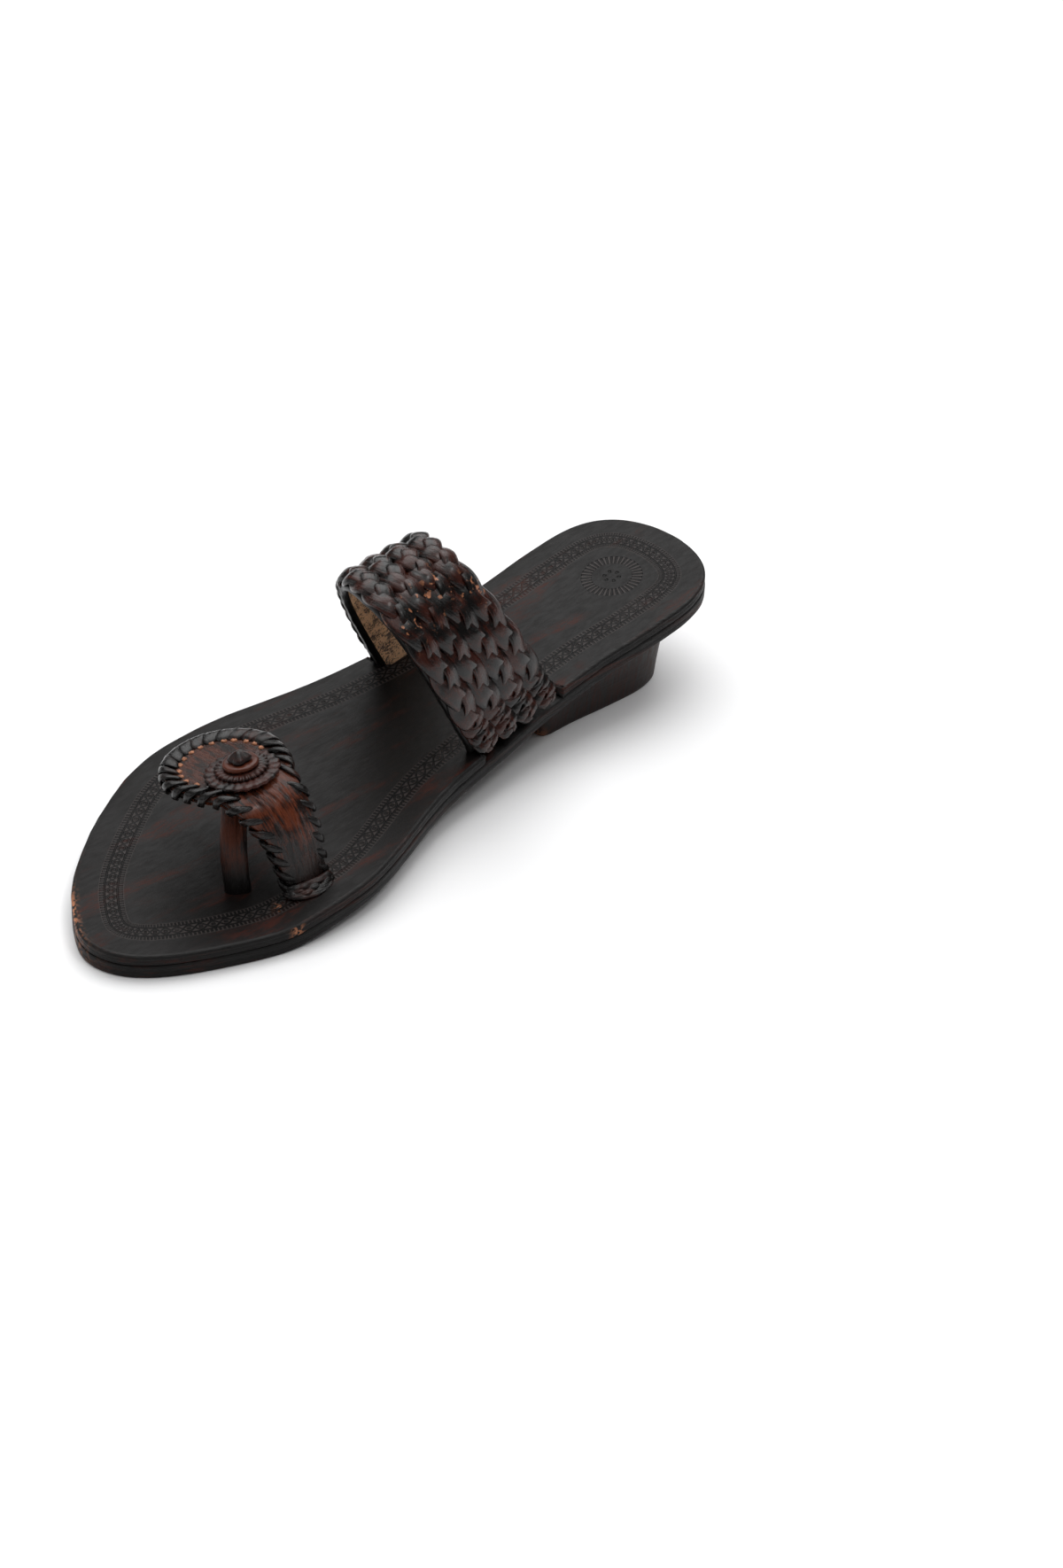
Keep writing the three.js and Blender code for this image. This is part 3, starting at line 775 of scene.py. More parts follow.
def suede_material(colours):
    material, tree, shader = new_material("Raw suede", specular=0.2, sheen=0.25)
    nap = object_noise(tree, 1500.0, detail=6.0, rough=0.75)
    stains = object_noise(tree, 210.0, detail=4.0)
    specks = plus(tree, times(tree, nap, 0.7), times(tree, stains, 0.4))
    pale = colour([min(c * 2.1, 0.8) for c in colours.suede])
    base = blend_colours(tree, remap(tree, specks, 0.53, 0.6), pale, shade(colours.suede, 0.2))
    dress(tree, shader, base, remap(tree, nap, 0.3, 0.7, 0.8, 0.95), (nap, 0.8, 0.5))
    return material


def tan_material(colours):
    material, tree, shader = new_material("Bare tan leather", specular=0.35)
    nap = object_noise(tree, 1300.0, detail=4.0)
    base = blend_colours(
        tree, remap(tree, nap, 0.4, 0.65), colour(colours.scuff), shade(colours.scuff, 0.35)
    )
    dress(tree, shader, base, remap(tree, nap, 0.3, 0.7, 0.45, 0.7), (nap, 0.5, 0.3))
    return material


def floor_material(colours):
    material, tree, shader = new_material("Plain pale floor", specular=0.25)
    cloudy = object_noise(tree, 3.0, detail=2.0)
    base = blend_colours(tree, cloudy, colour(colours.floor), shade(colours.floor, 0.985))
    tree.links.new(base, shader.inputs["Base Color"])
    shader.inputs["Roughness"].default_value = 0.7
    return material


# ---- footbed, sole and heel -----------------------------------------------------------------
def sole_surface(loop, profile, top_rows, top, bottom, slots):
    """Closed plate: rows from the underside's middle, round the edge profile, to the top's middle.

    profile is rows of (inset, level), level 0 at the bottom and 1 at the top.
    """
    middle = spine(loop)
    rows, kinds = [], []
    under = inset(loop, profile[0][0])
    for share in (1.0, 0.66, 0.33):
        rows.append((under + (middle - under) * share, 0.0))
        kinds.append(slots[2])
    for inwards, level in profile:
        rows.append((inset(loop, inwards), level))
        kinds.append(slots[1])
    over = inset(loop, profile[-1][0])
    kinds[-1] = slots[0]
    for k in range(1, top_rows + 1):
        rows.append((over + (middle - over) * (k / top_rows), 1.0))
        kinds.append(slots[0])
    points = []
    for plan, level in rows:
        for x, y in plan:
            along = along_of(y)
            points.append(Vector((x, y, lerp(bottom(x, along), top(x, along), level))))
    count = len(loop)
    faces = ring_faces(len(rows), count)
    face_slots = [kinds[r] for r in range(len(rows) - 1) for _ in range(count)]
    return points, faces, face_slots


def footbed_top(x, along):
    """The footbed's upper face: a little hollow under heel and ball, and never quite flat."""
    hollow = 0.7 * bell(along, 214, 26) * bell(x, -2, 20) + 0.5 * bell(along, 78, 30) * bell(x, 2, 34)
    return insole_bottom(along) + INSOLE_THICK - hollow + wobble(x, along, 0, 22, 0.18)


class SANDAL_OT_footbed(bpy.types.Operator):
    """Tooled insole with its notches for the instep strap"""

    bl_idname = "sandal.footbed"
    bl_label = "Footbed"

    def execute(self, context):
        loop = outline(notched=True)
        rough = np.array([wobble(x, y, 3, 5, 0.22) for x, y in loop])
        loop = inset(loop, 0.12) + np.c_[rough, rough] * 0.5
        profile = (
            (1.2, -0.06), (0.3, -0.06), (0.05, 0.0), (0.0, 0.2), (0.05, 0.45), (0.12, 0.52), (0.02, 0.6),
            (0.0, 0.74), (0.18, 0.88), (0.55, 0.965), (1.15, 1.0),
        )
        points, faces, slots = sole_surface(
            loop, profile, 20, footbed_top, lambda x, along: insole_bottom(along), (0, 1, 1),
        )
        run, distance, total = edge_coordinates(np.array([p[:2] for p in points]), outline(notched=False))
        # a whole number of diamonds goes round the edge
        total_run = round(total / DIAMOND_PITCH) * DIAMOND_PITCH
        run = run * (total_run / total)
        marks = []
        for p, away in zip(points, distance):
            tip = bell(p.x, -2, 9) * bell(p.y, -119, 9) * (1 - smooth(away, 0.6, 1.6))
            nick = bell(p.x, 35.3, 1.3) * bell(p.y, -77.4, 1.1)
            chip = bell(p.y, -79, 1.6) * smooth(p.x, 38, 42) * (1 - smooth(away, 0.1, 0.6))
            marks.append(clamp(1.4 * tip + (nick + chip)))
        piece = Piece()
        piece.add(points, faces, list(zip(run, distance)), slots=slots, mark=marks)
        scene = context.scene
        top = footbed_material(scene.sandal_sizes, scene.sandal_colours)
        edge = edge_material(scene.sandal_colours)
        piece.build("footbed", (top, edge), "footbed", ("insole",), wrap=total_run, weld=True)
        return {"FINISHED"}


class SANDAL_OT_outsole(bpy.types.Operator):
    """Outsole with its dressed edge, and the stacked heel under it"""

    bl_idname = "sandal.outsole"
    bl_label = "Outsole and heel"

    def execute(self, context):
        colours = context.scene.sandal_colours
        loop = outline(notched=False)
        rough = np.array([wobble(x, y, 7, 6, 0.2) for x, y in loop])
        loop = loop + np.c_[rough, rough] * 0.4
        profile = (
            (0.9, 0.0), (0.3, 0.03), (0.0, 0.13), (0.0, 0.4), (0.1, 0.5), (0.0, 0.6),
            (0.0, 0.85), (0.1, 0.96), (0.5, 1.0),
        )
        points, faces, slots = sole_surface(
            loop, profile, 4,
            lambda x, along: sole_at("rise", along) + OUTSOLE_THICK,
            lambda x, along: sole_at("rise", along), (0, 0, 1),
        )
        piece = Piece()
        marks = [bell(p.x, 2, 8) * bell(p.y, -129, 5) * 0.5 for p in points]
        piece.add(points, faces, slots=slots, mark=marks)
        bottom = band_leather(
            "Walked sole leather", colours.dark, colours.rubbed, colours, coat=0.05, gloss=(0.5, 0.7)
        )
        piece.build("outsole_plate", (edge_material(colours), bottom), "sole_edge", ("outsole",), weld=True)
        self.stack_heel(colours)
        return {"FINISHED"}

    def heel_outline(self, level):
        size = {key: lerp(HEEL_FLOOR[key], HEEL_TOP[key], level) for key in HEEL_TOP}
        sides = {}
        for name in ("medial", "lateral"):
            side = []
            for i in range(41):
                share = math.sin(math.pi / 2 * i / 40)
                sole_along = lerp(size["breast"], LENGTH, share)
                middle = (sole_at("lateral", sole_along) + sole_at("medial", sole_along)) / 2
                x = middle + (sole_at(name, sole_along) - middle) * size["share"]
                side.append((x, lerp(size["breast"], size["rear"], share) - LENGTH / 2))
            sides[name] = side
        ring = sides["medial"] + sides["lateral"][-2::-1]
        breast = [tuple(lerp(a, b, k / 24) for a, b in zip(ring[-1], ring[0])) for k in range(1, 24)]
        return np.array(ring + breast)

    def stack_heel(self, colours):
        """Heel block with softened corners and slightly hollow sides."""
        steps = 26
        rows = []
        for i in range(steps + 1):
            level = i / steps
            ring = self.heel_outline(level)
            for _ in range(3):
                ring = (np.roll(ring, 1, 0) + ring * 2 + np.roll(ring, -1, 0)) / 4
            centre = ring.mean(0)
            tuck = 0.5 * (1 - smooth(level, 0, 0.035)) + 0.5 * math.sin(math.pi * level)
            step = ring - centre
            reach = np.linalg.norm(step, axis=1)[:, None]
            ring = centre + step * (1 - tuck / reach)
            row = []
            for x, y in ring:
                top = sole_at("rise", along_of(y)) - FIT_GAP * 0.3
                row.append(Vector((x, y, level * top)))
            rows.append(row)
        count = len(rows[0])
        points = [p for row in rows for p in row]
        marks = [0.8 * bell(p.y, 50.5, 3) * bell(p.z, 0, 2.5) * smooth(p.x, 8, 14) for p in points]
        piece = Piece()
        piece.add(points, tube_faces(len(rows), count), mark=marks)
        piece.build("heel_stack", (heel_material(colours),), "heel", ("heel_block",))


# ---- instep strap ---------------------------------------------------------------------------
def strap_edge(edge, turn):
    power = 2 / edge["square"]
    c, s = math.cos(turn), max(math.sin(turn), 0.0)
    across = (1 - math.copysign(abs(c) ** power, c)) / 2
    up = s ** power
    (x0, along0), (x1, along1) = edge["medial"], edge["lateral"]
    along = lerp(along0, along1, across)
    z = insole_bottom(along) + FIT_GAP + (edge["height"] + INSOLE_THICK - FIT_GAP) * up
    return Vector((lerp(x0, x1, across), along - LENGTH / 2 - edge["lean"] * up, z))


def strap_line(share, step):
    """Frames at equal steps along the arch: middle, width way, outward way, width and run."""
    fine = 700
    turns = [math.pi * i / fine for i in range(fine + 1)]
    fronts = [strap_edge(STRAP_FRONT, t) for t in turns]
    backs = [strap_edge(STRAP_BACK, t) for t in turns]
    line = [a.lerp(b, share) for a, b in zip(fronts, backs)]
    run = [0.0]
    for a, b in zip(line, line[1:]):
        run.append(run[-1] + (b - a).length)
    count = max(2, round(run[-1] / step))
    frames, k = [], 0
    for i in range(count + 1):
        wanted = run[-1] * i / count
        while k < fine - 1 and run[k + 1] < wanted:
            k += 1
        part = clamp((wanted - run[k]) / (run[k + 1] - run[k]))
        middle = line[k].lerp(line[k + 1], part)
        tangent = (line[min(k + 3, fine)] - line[max(k - 2, 0)]).normalized()
        width = (backs[k].lerp(backs[k + 1], part) - fronts[k].lerp(fronts[k + 1], part))
        across = (width - tangent * width.dot(tangent)).normalized()
        out = across.cross(tangent).normalized()
        frames.append({"at": middle, "across": across, "out": out, "width": width.length, "run": wanted})
    return frames, run[-1]


class SANDAL_OT_instep_strap(bpy.types.Operator):
    """Four flat braids side by side, sewn to a suede lining"""

    bl_idname = "sandal.instep_strap"
    bl_label = "Instep strap"

    braids: bpy.props.IntProperty(
        name="Braids", description="Number of braids side by side", default=4, min=1
    )

    def execute(self, context):
        sizes, colours = context.scene.sandal_sizes, context.scene.sandal_colours
        leather = band_leather(
            "Braided strap leather", shade(colours.dark, 0.8), colours.rubbed, colours,
            warmth=(0.44, 0.58), gloss=(0.13, 0.3), coat=0.85, crease=0.9, marked=True,
        )
        for j in range(self.braids):
            self.braid(j, sizes, leather)
        self.lining(colours)
        return {"FINISHED"}

    def braid(self, j, sizes, leather):
        """One three-ply plait: each strand rises over the middle and tucks under at the edge."""
        frames, length = strap_line((j + 0.5) / self.braids, 0.75)
        piece = Piece()
        skip = lerp(3.0, 0.6, j / max(self.braids - 1, 1))
        frames = [f for f in frames if skip <= f["run"] <= length - 0.8]
        start, length = frames[0]["run"], frames[-1]["run"] - frames[0]["run"]
        frames = [dict(f, run=f["run"] - start) for f in frames]
        phase, turns = 0.0, []
        leaf, calms = [], []
        for i, f in enumerate(frames):
            to_end = min(f["run"], length - f["run"])
            flank = 1 - smooth(f["run"], length * 0.34, length * 0.5)
            loose = lerp(sizes.leaf_pitch, sizes.long_pitch, flank)
            pitch = lerp(sizes.tight_pitch, loose, smooth(to_end, 9, 19)) / MM
            pitch *= 1 + wobble(f["run"], j * 9.0, 0, 12, 0.16)
            if i:
                phase += 2 * math.pi * (f["run"] - frames[i - 1]["run"]) / (3 * pitch)
            turns.append(phase)
            leaf.append(pitch)
            calms.append(max(0.6 * flank, 1 - smooth(to_end, FLAT_FROM, FLAT_TO)))
        for strand in range(3):
            path, ways, half_widths, half_thicks, marks = [], [], [], [], []
            for i, f in enumerate(frames):
                to_end = min(f["run"], length - f["run"])
                tip = math.sqrt(max(1 - ((TIP_REACH - min(to_end, TIP_REACH)) / TIP_REACH) ** 2, 0.03))
                flat = 1 - smooth(to_end, FLAT_FROM, FLAT_TO)
                room = f["width"] / self.braids / 2
                angle = turns[i] + 2 * math.pi * strand / 3 + j * 0.9
                swing = room * STRAND_SWING * tip
                slope = math.atan2(swing * 2 * math.pi, 3 * leaf[i])
                half_width = min(leaf[i] * math.sin(slope) * 0.7 + 0.3 + 0.35 * flat, room * 0.72)
                half_width *= lerp(tip, 1, 0.2)
                lift = STRAND_LIFT * lerp(1, CALM_LIFT_SHARE, calms[i])
                out = STRAND_OFF_LINING + lift * math.sin(2 * angle) * lerp(1, tip, 0.5)
                out += END_BULGE * (1 - smooth(to_end, 0, END_BULGE_REACH)) - 0.5 * flat
                side = swing * math.sin(angle)
                path.append(f["at"] + f["across"] * side + f["out"] * out)
                roll = lerp(STRAND_ROLL, CALM_ROLL, calms[i]) * math.sin(angle)
                ways.append(f["across"] - f["out"] * roll)
                half_widths.append(half_width)
                half_thick = lerp(STRAND_HALF_THICK, CALM_HALF_THICK, calms[i])
                half_thicks.append(half_thick * lerp(1, tip, 0.45))
                marks.append(bell(f["run"], length * (SCUFF_PLACE + 0.02 * (j % 3)), SCUFF_REACH))
            sides = 14
            points, faces, uvs = soft_band(path, ways, half_widths, half_thicks, sides, 2.3)
            uvs = [(u + 37 * strand + 211 * j, v) for u, v in uvs]
            mark = [m * 0.9 for m in marks for _ in range(sides)]
            piece.add(points, faces, uvs, mark=mark)
        piece.build(f"braid_{j + 1}", (leather,), "braid", ("instep_strap",))

    def lining(self, colours):
        """The sheet behind the braids: suede inside, dressed black round its edges."""
        frames, _ = strap_line(0.5, 1.3)
        shares = [k / 16 for k in range(17)]
        inner, outer = -STRAP_HALF, -STRAP_HALF + LINING_THICK
        section = [(s, inner) for s in shares] + [(1.0, lerp(inner, outer, 0.5))]
        section += [(s, outer) for s in reversed(shares)] + [(0.0, lerp(inner, outer, 0.5))]
        points, uvs = [], []
        for f in frames:
            for s, h in section:
                edge = (s - 0.5) * (f["width"] - 1.0)
                edge += math.copysign(wobble(f["run"], s * 9, 0, 6, 0.5), s - 0.5) * (abs(s - 0.5) > 0.49)
                if abs(h - (inner + outer) / 2) > 0.1:
                    h += 0.35 * (abs(s - 0.5) > 0.49) * (1 if h < -1 else -1)
                points.append(f["at"] + f["across"] * edge + f["out"] * h)
                uvs.append((f["run"], s * f["width"]))
        count = len(section)
        faces = tube_faces(len(frames), count)
        suede_columns = range(1, 15)
        slots = [0 if c in suede_columns else 1 for _ in range(len(frames) - 1) for c in range(count)]
        slots += [1, 1]
        piece = Piece()
        piece.add(points, faces, uvs, slots=slots)
        black = band_leather(
            "Dressed strap edge", colours.edge, shade(colours.edge, 1.6), colours,
            gloss=(0.35, 0.55), coat=0.2,
        )
        piece.build("strap_lining", (suede_material(colours), black), "lining", ("instep_strap",))


# ---- toe strap ------------------------------------------------------------------------------
def toe_stations():
    """Middle line of the toe strap from the disc's far rim to its foot, with its half width."""
    points = [Vector((row["x"], row["y"], row["z"])) for row in TOE_STRAP]
    onward = (points[1] - points[0]).normalized()
    stations = []
    disc_steps, line_steps = 34, 84
    for i in range(disc_steps):
        angle = math.pi / 2 * (i + 0.3) / (disc_steps + 0.3)
        at = points[0] - onward * TOE_DISC_RADIUS * math.cos(angle)
        stations.append((at, TOE_DISC_RADIUS * math.sin(angle)))
    halves = [{"k": k, "half": row["half"]} for k, row in enumerate(TOE_STRAP)]
    for i in range(line_steps + 1):
        share = i / line_steps
        half = column(halves, "k", "half", share * (len(TOE_STRAP) - 1))
        stations.append((curve_point(points, share), half))
    frames = []
    last = len(stations) - 1
    for i, (at, half) in enumerate(stations):
        tangent = (stations[min(i + 1, last)][0] - stations[max(i - 1, 0)][0]).normalized()
        across = (TOE_WIDTH_WAY - tangent * TOE_WIDTH_WAY.dot(tangent)).normalized()
        out = tangent.cross(across).normalized()
        frames.append({"at": at, "half": half, "tangent": tangent, "across": across, "out": out})
    return frames


def toe_curl(frame_at, w):
    """How far the strap's face lies off its flat middle: turned down at the sides where it descends."""
    steep = clamp(abs(frame_at["tangent"].z) * 1.4)
    on_disc = 1 - steep
    bent_side = 0.9 * on_disc * max(w, 0) ** 3 * smooth(frame_at["at"].x, 8, 20)
    return -1.9 * steep * w * w + 0.5 * on_disc * abs(w) ** 6 - bent_side


def toe_face(frame_at, w, height=0.0):
    lift = toe_curl(frame_at, w)
    return frame_at["at"] + frame_at["across"] * frame_at["half"] * w + frame_at["out"] * (lift + height)


class SANDAL_OT_toe_strap(bpy.types.Operator):
    """Toe strap with its disc, whip-stitched edge and punched holes"""

    bl_idname = "sandal.toe_strap"
    bl_label = "Toe strap"

    def execute(self, context):
        sizes, colours = context.scene.sandal_sizes, context.scene.sandal_colours
        frames = toe_stations()
        self.leather(frames, colours)
        self.lacing(frames, sizes, colours)
        self.foot_folds(frames[-1], colours)
        return {"FINISHED"}

    def foot_folds(self, foot, colours):
        """Wrinkled folds that spread round the strap's foot on the footbed."""
        piece = Piece()
        folds = table(
            "reach side height",
            (1.7, 7.2, 2.3), (2.5, 7.6, 1.5), (3.5, 8.0, 0.9), (4.5, 8.3, 0.35),
        )
        top = insole_bottom(along_of(foot["at"].y)) + INSOLE_THICK
        for n, fold in enumerate(folds):
            path, ways = [], []
            for k in range(31):
                angle = math.pi * (k / 30 - 0.5) * 1.1
                uneven = wobble(k * 0.3, n * 7, 0, 1.0, 0.8)
                at = Vector((foot["at"].x, foot["at"].y, top + fold["height"]))
                at += foot["across"] * fold["side"] * math.sin(angle)
                at += foot["out"] * (fold["reach"] + uneven) * math.cos(angle)
                path.append(Vector((at.x, at.y, top + fold["height"] + 0.4 * uneven)))
                outwards = foot["out"] * math.cos(angle) + foot["across"] * math.sin(angle)
                ways.append(outwards - Vector((0, 0, 0.6)))
            thicks = [0.52 * max(math.sin(math.pi * (k + 0.6) / 31.2), 0.2) ** 0.5 for k in range(31)]
            points, faces, uvs = soft_band(path, ways, [t * 2.2 for t in thicks], thicks, 12, 2.2)
            piece.add(points, faces, [(u + 51 * n, v) for u, v in uvs])
        leather = band_leather(
            "Toe strap foot leather", colours.dark, colours.rubbed, colours,
            warmth=(0.45, 0.65), gloss=(0.2, 0.4), coat=0.3, crease=1.0,
        )
        piece.build("toe_strap_foot", (leather,), "toe_leather", ("toe_strap",))

    def leather(self, frames, colours):
        """The strap itself: flat below, with lengthwise creases on the face that runs down to the footbed."""
        steps = 72
        half = TOE_STRAP_THICK / 2
        ridges = table("middle from_x", (-0.42, 17), (-0.2, 19), (0.02, 16), (0.2, 18), (0.42, 20))
        ws = [math.sin(math.pi / 2 * (2 * k / steps - 1)) for k in range(steps + 1)]
        points, uvs, marks, run = [], [], [], 0.0
        for i, f in enumerate(frames):
            if i:
                run += (f["at"] - frames[i - 1]["at"]).length
            soft = min(0.8, f["half"] * 0.3)
            narrowed = 1 - soft / f["half"] * 0.4
            on_disc = 1 - smooth(f["at"].x, 8, 20)
            # Share of warm colour: darker towards the strap's foot, less warm on the disc, and a little
            # darker towards the strap's edges.
            warm_share = lerp(1 - 0.92 * smooth(31 - f["at"].z, 0, 15), 0.55, on_disc)
            ring = []
            for w in ws:
                crease = 0.0
                for ridge in ridges:
                    middle = ridge["middle"] + wobble(run * 0.12, ridge["middle"] * 20, 0, 1.0, 0.16)
                    strength = smooth(f["at"].x, ridge["from_x"], ridge["from_x"] + 5)
                    crease += 0.5 * strength * smooth(f["at"].z, 16, 22) * bell(w, middle, 0.055)
                ring.append((w * narrowed, half * self.edge_share(w) + crease))
            ring += [(w * narrowed, -half * self.edge_share(w)) for w in reversed(ws)]
            for w, h in ring:
                points.append(toe_face(f, w, h))
                uvs.append((run, w * f["half"]))
                marks.append(warm_share * (1 - 0.25 * w * w))
        count = 2 * (steps + 1)
        piece = Piece()
        piece.add(points, tube_faces(len(frames), count), uvs, mark=marks)
        warm = band_leather(
            "Toe strap leather", colours.dark, colours.bright, colours,
            warmth=(0.43, 0.57), gloss=(0.15, 0.34), coat=0.55, crease=1.0, warm_mark=True,
        )
        piece.build("toe_strap_leather", (warm,), "toe_leather", ("toe_strap",))

    @staticmethod
    def edge_share(w):
        """Share of the strap's thickness that is left at its rounded edges."""
        return 0.55 if abs(w) > 0.999 else 1

    def rim(self, frames):
        """The strap's edge as one line with its frames, up one side, round the disc and down the other."""
        line = []
        for w, ordered in ((-1.0, list(reversed(frames))), (1.0, frames)):
            for f in ordered:
                at = toe_face(f, w)
                narrow_from = -16 if w < 0 else 3
                inward = (toe_face(f, w * 0.8) - toe_face(f, w)).normalized()
                broad = 1 - smooth(at.x, narrow_from, narrow_from + 9)
                line.append({"at": at, "out": f["out"], "inward": inward, "broad": broad})
        run = [0.0]
        for a, b in zip(line, line[1:]):
            run.append(run[-1] + (b["at"] - a["at"]).length)
        return line, np.array(run)

    def lacing(self, frames, sizes, colours):
        """Thong wrapped over the edge, slanting from hole to hole, round a roll that fills the disc's rim."""
        line, run = self.rim(frames)
        pitch, width = sizes.lacing_pitch / MM, sizes.lacing_width / MM
        total = run[-1] - 4.0
        count = int(total / pitch)
        half = TOE_STRAP_THICK / 2

        def rim_at(q):
            k = int(clamp(np.searchsorted(run, q) - 1, 0, len(line) - 2))
            part = clamp((q - run[k]) / max(run[k + 1] - run[k], 1e-6))
            a, b = line[k], line[k + 1]
            out = a["out"].lerp(b["out"], part).normalized()
            along = (line[min(k + 4, len(line) - 1)]["at"] - line[max(k - 3, 0)]["at"]).normalized()
            inward = out.cross(along)
            if inward.dot(a["inward"]) < 0:
                inward = -inward
            return a["at"].lerp(b["at"], part), inward.normalized(), out, along

        def broad_at(q):
            return line[int(clamp(np.searchsorted(run, q), 0, len(line) - 1))]["broad"]

        thong, dots = Piece(), Piece()
        # one wrap: run along the rim, distance in from it, height over the strap's middle
        wrap = table(
            "run inward height",
            (-1.5, 4.9, half - 0.5), (-1.2, 4.0, half + 0.35), (-0.5, 2.2, half + 0.75),
            (0.3, 0.5, half + 0.65), (0.9, -0.55, half - 0.2), (1.2, -0.7, -0.2),
            (1.5, -0.3, -half - 0.3), (2.2, 1.5, -half - 0.5), (2.8, 3.2, -half - 0.25),
            (3.0, 3.8, -half + 0.5),
        )
        steps, clear = 160, 6.0
        runs = [lerp(clear, total - clear, k / steps) for k in range(steps + 1)]
        broads = [broad_at(q) for q in runs]
        spots = [rim_at(q) for q in runs]
        roll = [at + inward * 0.5 for at, inward, _, _ in spots]
        ways = [inward for _, inward, _, _ in spots]
        widths = [lerp(0.3, 1.3, broad) for broad in broads]
        thicks = [lerp(0.3, half + 0.5, broad) for broad in broads]
        thong.add(*soft_band(roll, ways, widths, thicks, 12, 2.2))
        for i in range(count):
            q = 3.2 + i * pitch + wobble(i * 3.1, 0, 0, 1.7, 0.5)
            broad = broad_at(q)
            flank = lerp(0.52, 1.0, broad) * (1.0 + wobble(i * 1.7, 5, 0, 1.3, 0.3))
            slant = lerp(1.9, 1.6, broad)
            controls = []
            for row in wrap:
                at, inward, out, _ = rim_at(q + row["run"] * slant)
                controls.append(at + inward * row["inward"] + out * row["height"])
            shares = [k / 26 for k in range(27)]
            path = [curve_point(controls, share) for share in shares]
            ways = [rim_at(q + lerp(-1, 3, share))[3] for share in shares]
            widths = []
            for k in range(27):
                swell = max(math.sin(math.pi * k / 26), 0.0) ** lerp(0.9, 0.5, broad)
                widths.append(width / 2 * flank * lerp(lerp(0.2, 0.6, broad), 1, swell))
            thicks = [THONG_HALF_THICK] * len(shares)
            points, faces, uvs = soft_band(path, ways, widths, thicks, 10, 2.4)
            thong.add(points, faces, [(u + 13.7 * i, v) for u, v in uvs])
            at, inward, out, along = rim_at(q - 1.4)
            hole = at + inward * 5.1 + out * (half + 0.02)
            on_left = smooth(10 - hole.x, 0, 6)
            self.punched_hole(dots, hole, inward, along, out, lerp(0.55, 0.85, on_left), on_left, i)
        dark = band_leather(
            "Lacing thong", colours.dark, colours.rubbed, colours,
            warmth=(0.5, 0.72), gloss=(0.2, 0.36), coat=0.55, crease=0.9,
        )
        thong.build("toe_lacing", (dark,), "toe_leather", ("toe_strap",))
        dots.build("toe_holes", (tan_material(colours), dark), "toe_leather", ("toe_strap",))

    def punched_hole(self, dots, hole, inward, along, out, radius, on_left, i):
        """A small torn rim of leather round a punched hole."""
        rings = ((1.3, -0.3), (1.0, 0.18), (0.55, 0.34), (0.15, 0.2))
        sides = 9
        points = []
        for share, height in rings:
            for k in range(sides):
                angle = 2 * math.pi * k / sides
                reach = radius * share * (1 + wobble(i * 7.0 + k, share, 0, 1.1, 0.5))
                at = hole + inward * reach * math.cos(angle) + along * reach * math.sin(angle)
                points.append(at + out * height)
        dots.add(points, tube_faces(len(rings), sides), slot=0 if on_left > 0.5 else 1)


# ---- post and rosette -----------------------------------------------------------------------
TOE_NORMAL = Vector((-TOE_DISC_SLOPE[0], -TOE_DISC_SLOPE[1], 1)).normalized()


def disc_height(x, y):
    centre = TOE_STRAP[0]
    return centre["z"] + TOE_DISC_SLOPE[0] * (x - centre["x"]) + TOE_DISC_SLOPE[1] * (y - centre["y"])


class SANDAL_OT_post(bpy.types.Operator):
    """Folded leather post between the toes"""

    bl_idname = "sandal.post"
    bl_label = "Toe post"

    def execute(self, context):
        colours = context.scene.sandal_colours
        points_on = [Vector((row["x"], row["y"], row["z"])) for row in POST]
        steps, sides = 44, 36
        points, uvs, marks, run = [], [], [], 0.0
        for i in range(steps + 1):
            share = i / steps
            at = curve_point(points_on, share)
            before, after = max(share - 0.01, 0), min(share + 0.01, 1)
            tangent = (curve_point(points_on, after) - curve_point(points_on, before)).normalized()
            across = (POST_WIDTH_WAY - tangent * POST_WIDTH_WAY.dot(tangent)).normalized()
            out = tangent.cross(across)
            run += 0 if i == 0 else (at - curve_point(points_on, (i - 1) / steps)).length
            for k in range(sides):
                angle = 2 * math.pi * k / sides
                c, s = math.cos(angle), math.sin(angle)
                fold = 1 - 0.2 * bell(angle, math.pi * 1.62, 0.16) - 0.12 * bell(angle, math.pi * 0.5, 0.2)
                u = math.copysign(abs(c) ** 0.8, c) * POST_HALF_WIDTH * fold
                v = math.copysign(abs(s) ** 0.8, s) * POST_HALF_THICK * fold
                uneven = wobble(run, k * 0.6, 0, 5, 0.18)
                point = at + across * (u + uneven) + out * v
                if share > 0.96:
                    point.z = min(point.z, disc_height(point.x, point.y) - TOE_STRAP_THICK * 0.3)
                points.append(point)
                uvs.append((run, k * 0.6))
                # Painted shade: the post stays dark below about 12 mm, where it stands in the toe strap's
                # shadow, and turns warm by 22 mm.
                marks.append(smooth(at.z, 12, 22))
        piece = Piece()
        piece.add(points, tube_faces(steps + 1, sides), uvs, mark=marks)
        leather = band_leather(
            "Post leather", shade(colours.dark, 1.2), shade(colours.bright, 0.62), colours,
            warmth=(0.4, 0.6), gloss=(0.3, 0.5), coat=0.2, crease=0.8, warm_mark=True,
        )
        piece.build("post_leather", (leather,), "post_leather", ("toe_post",))
        return {"FINISHED"}


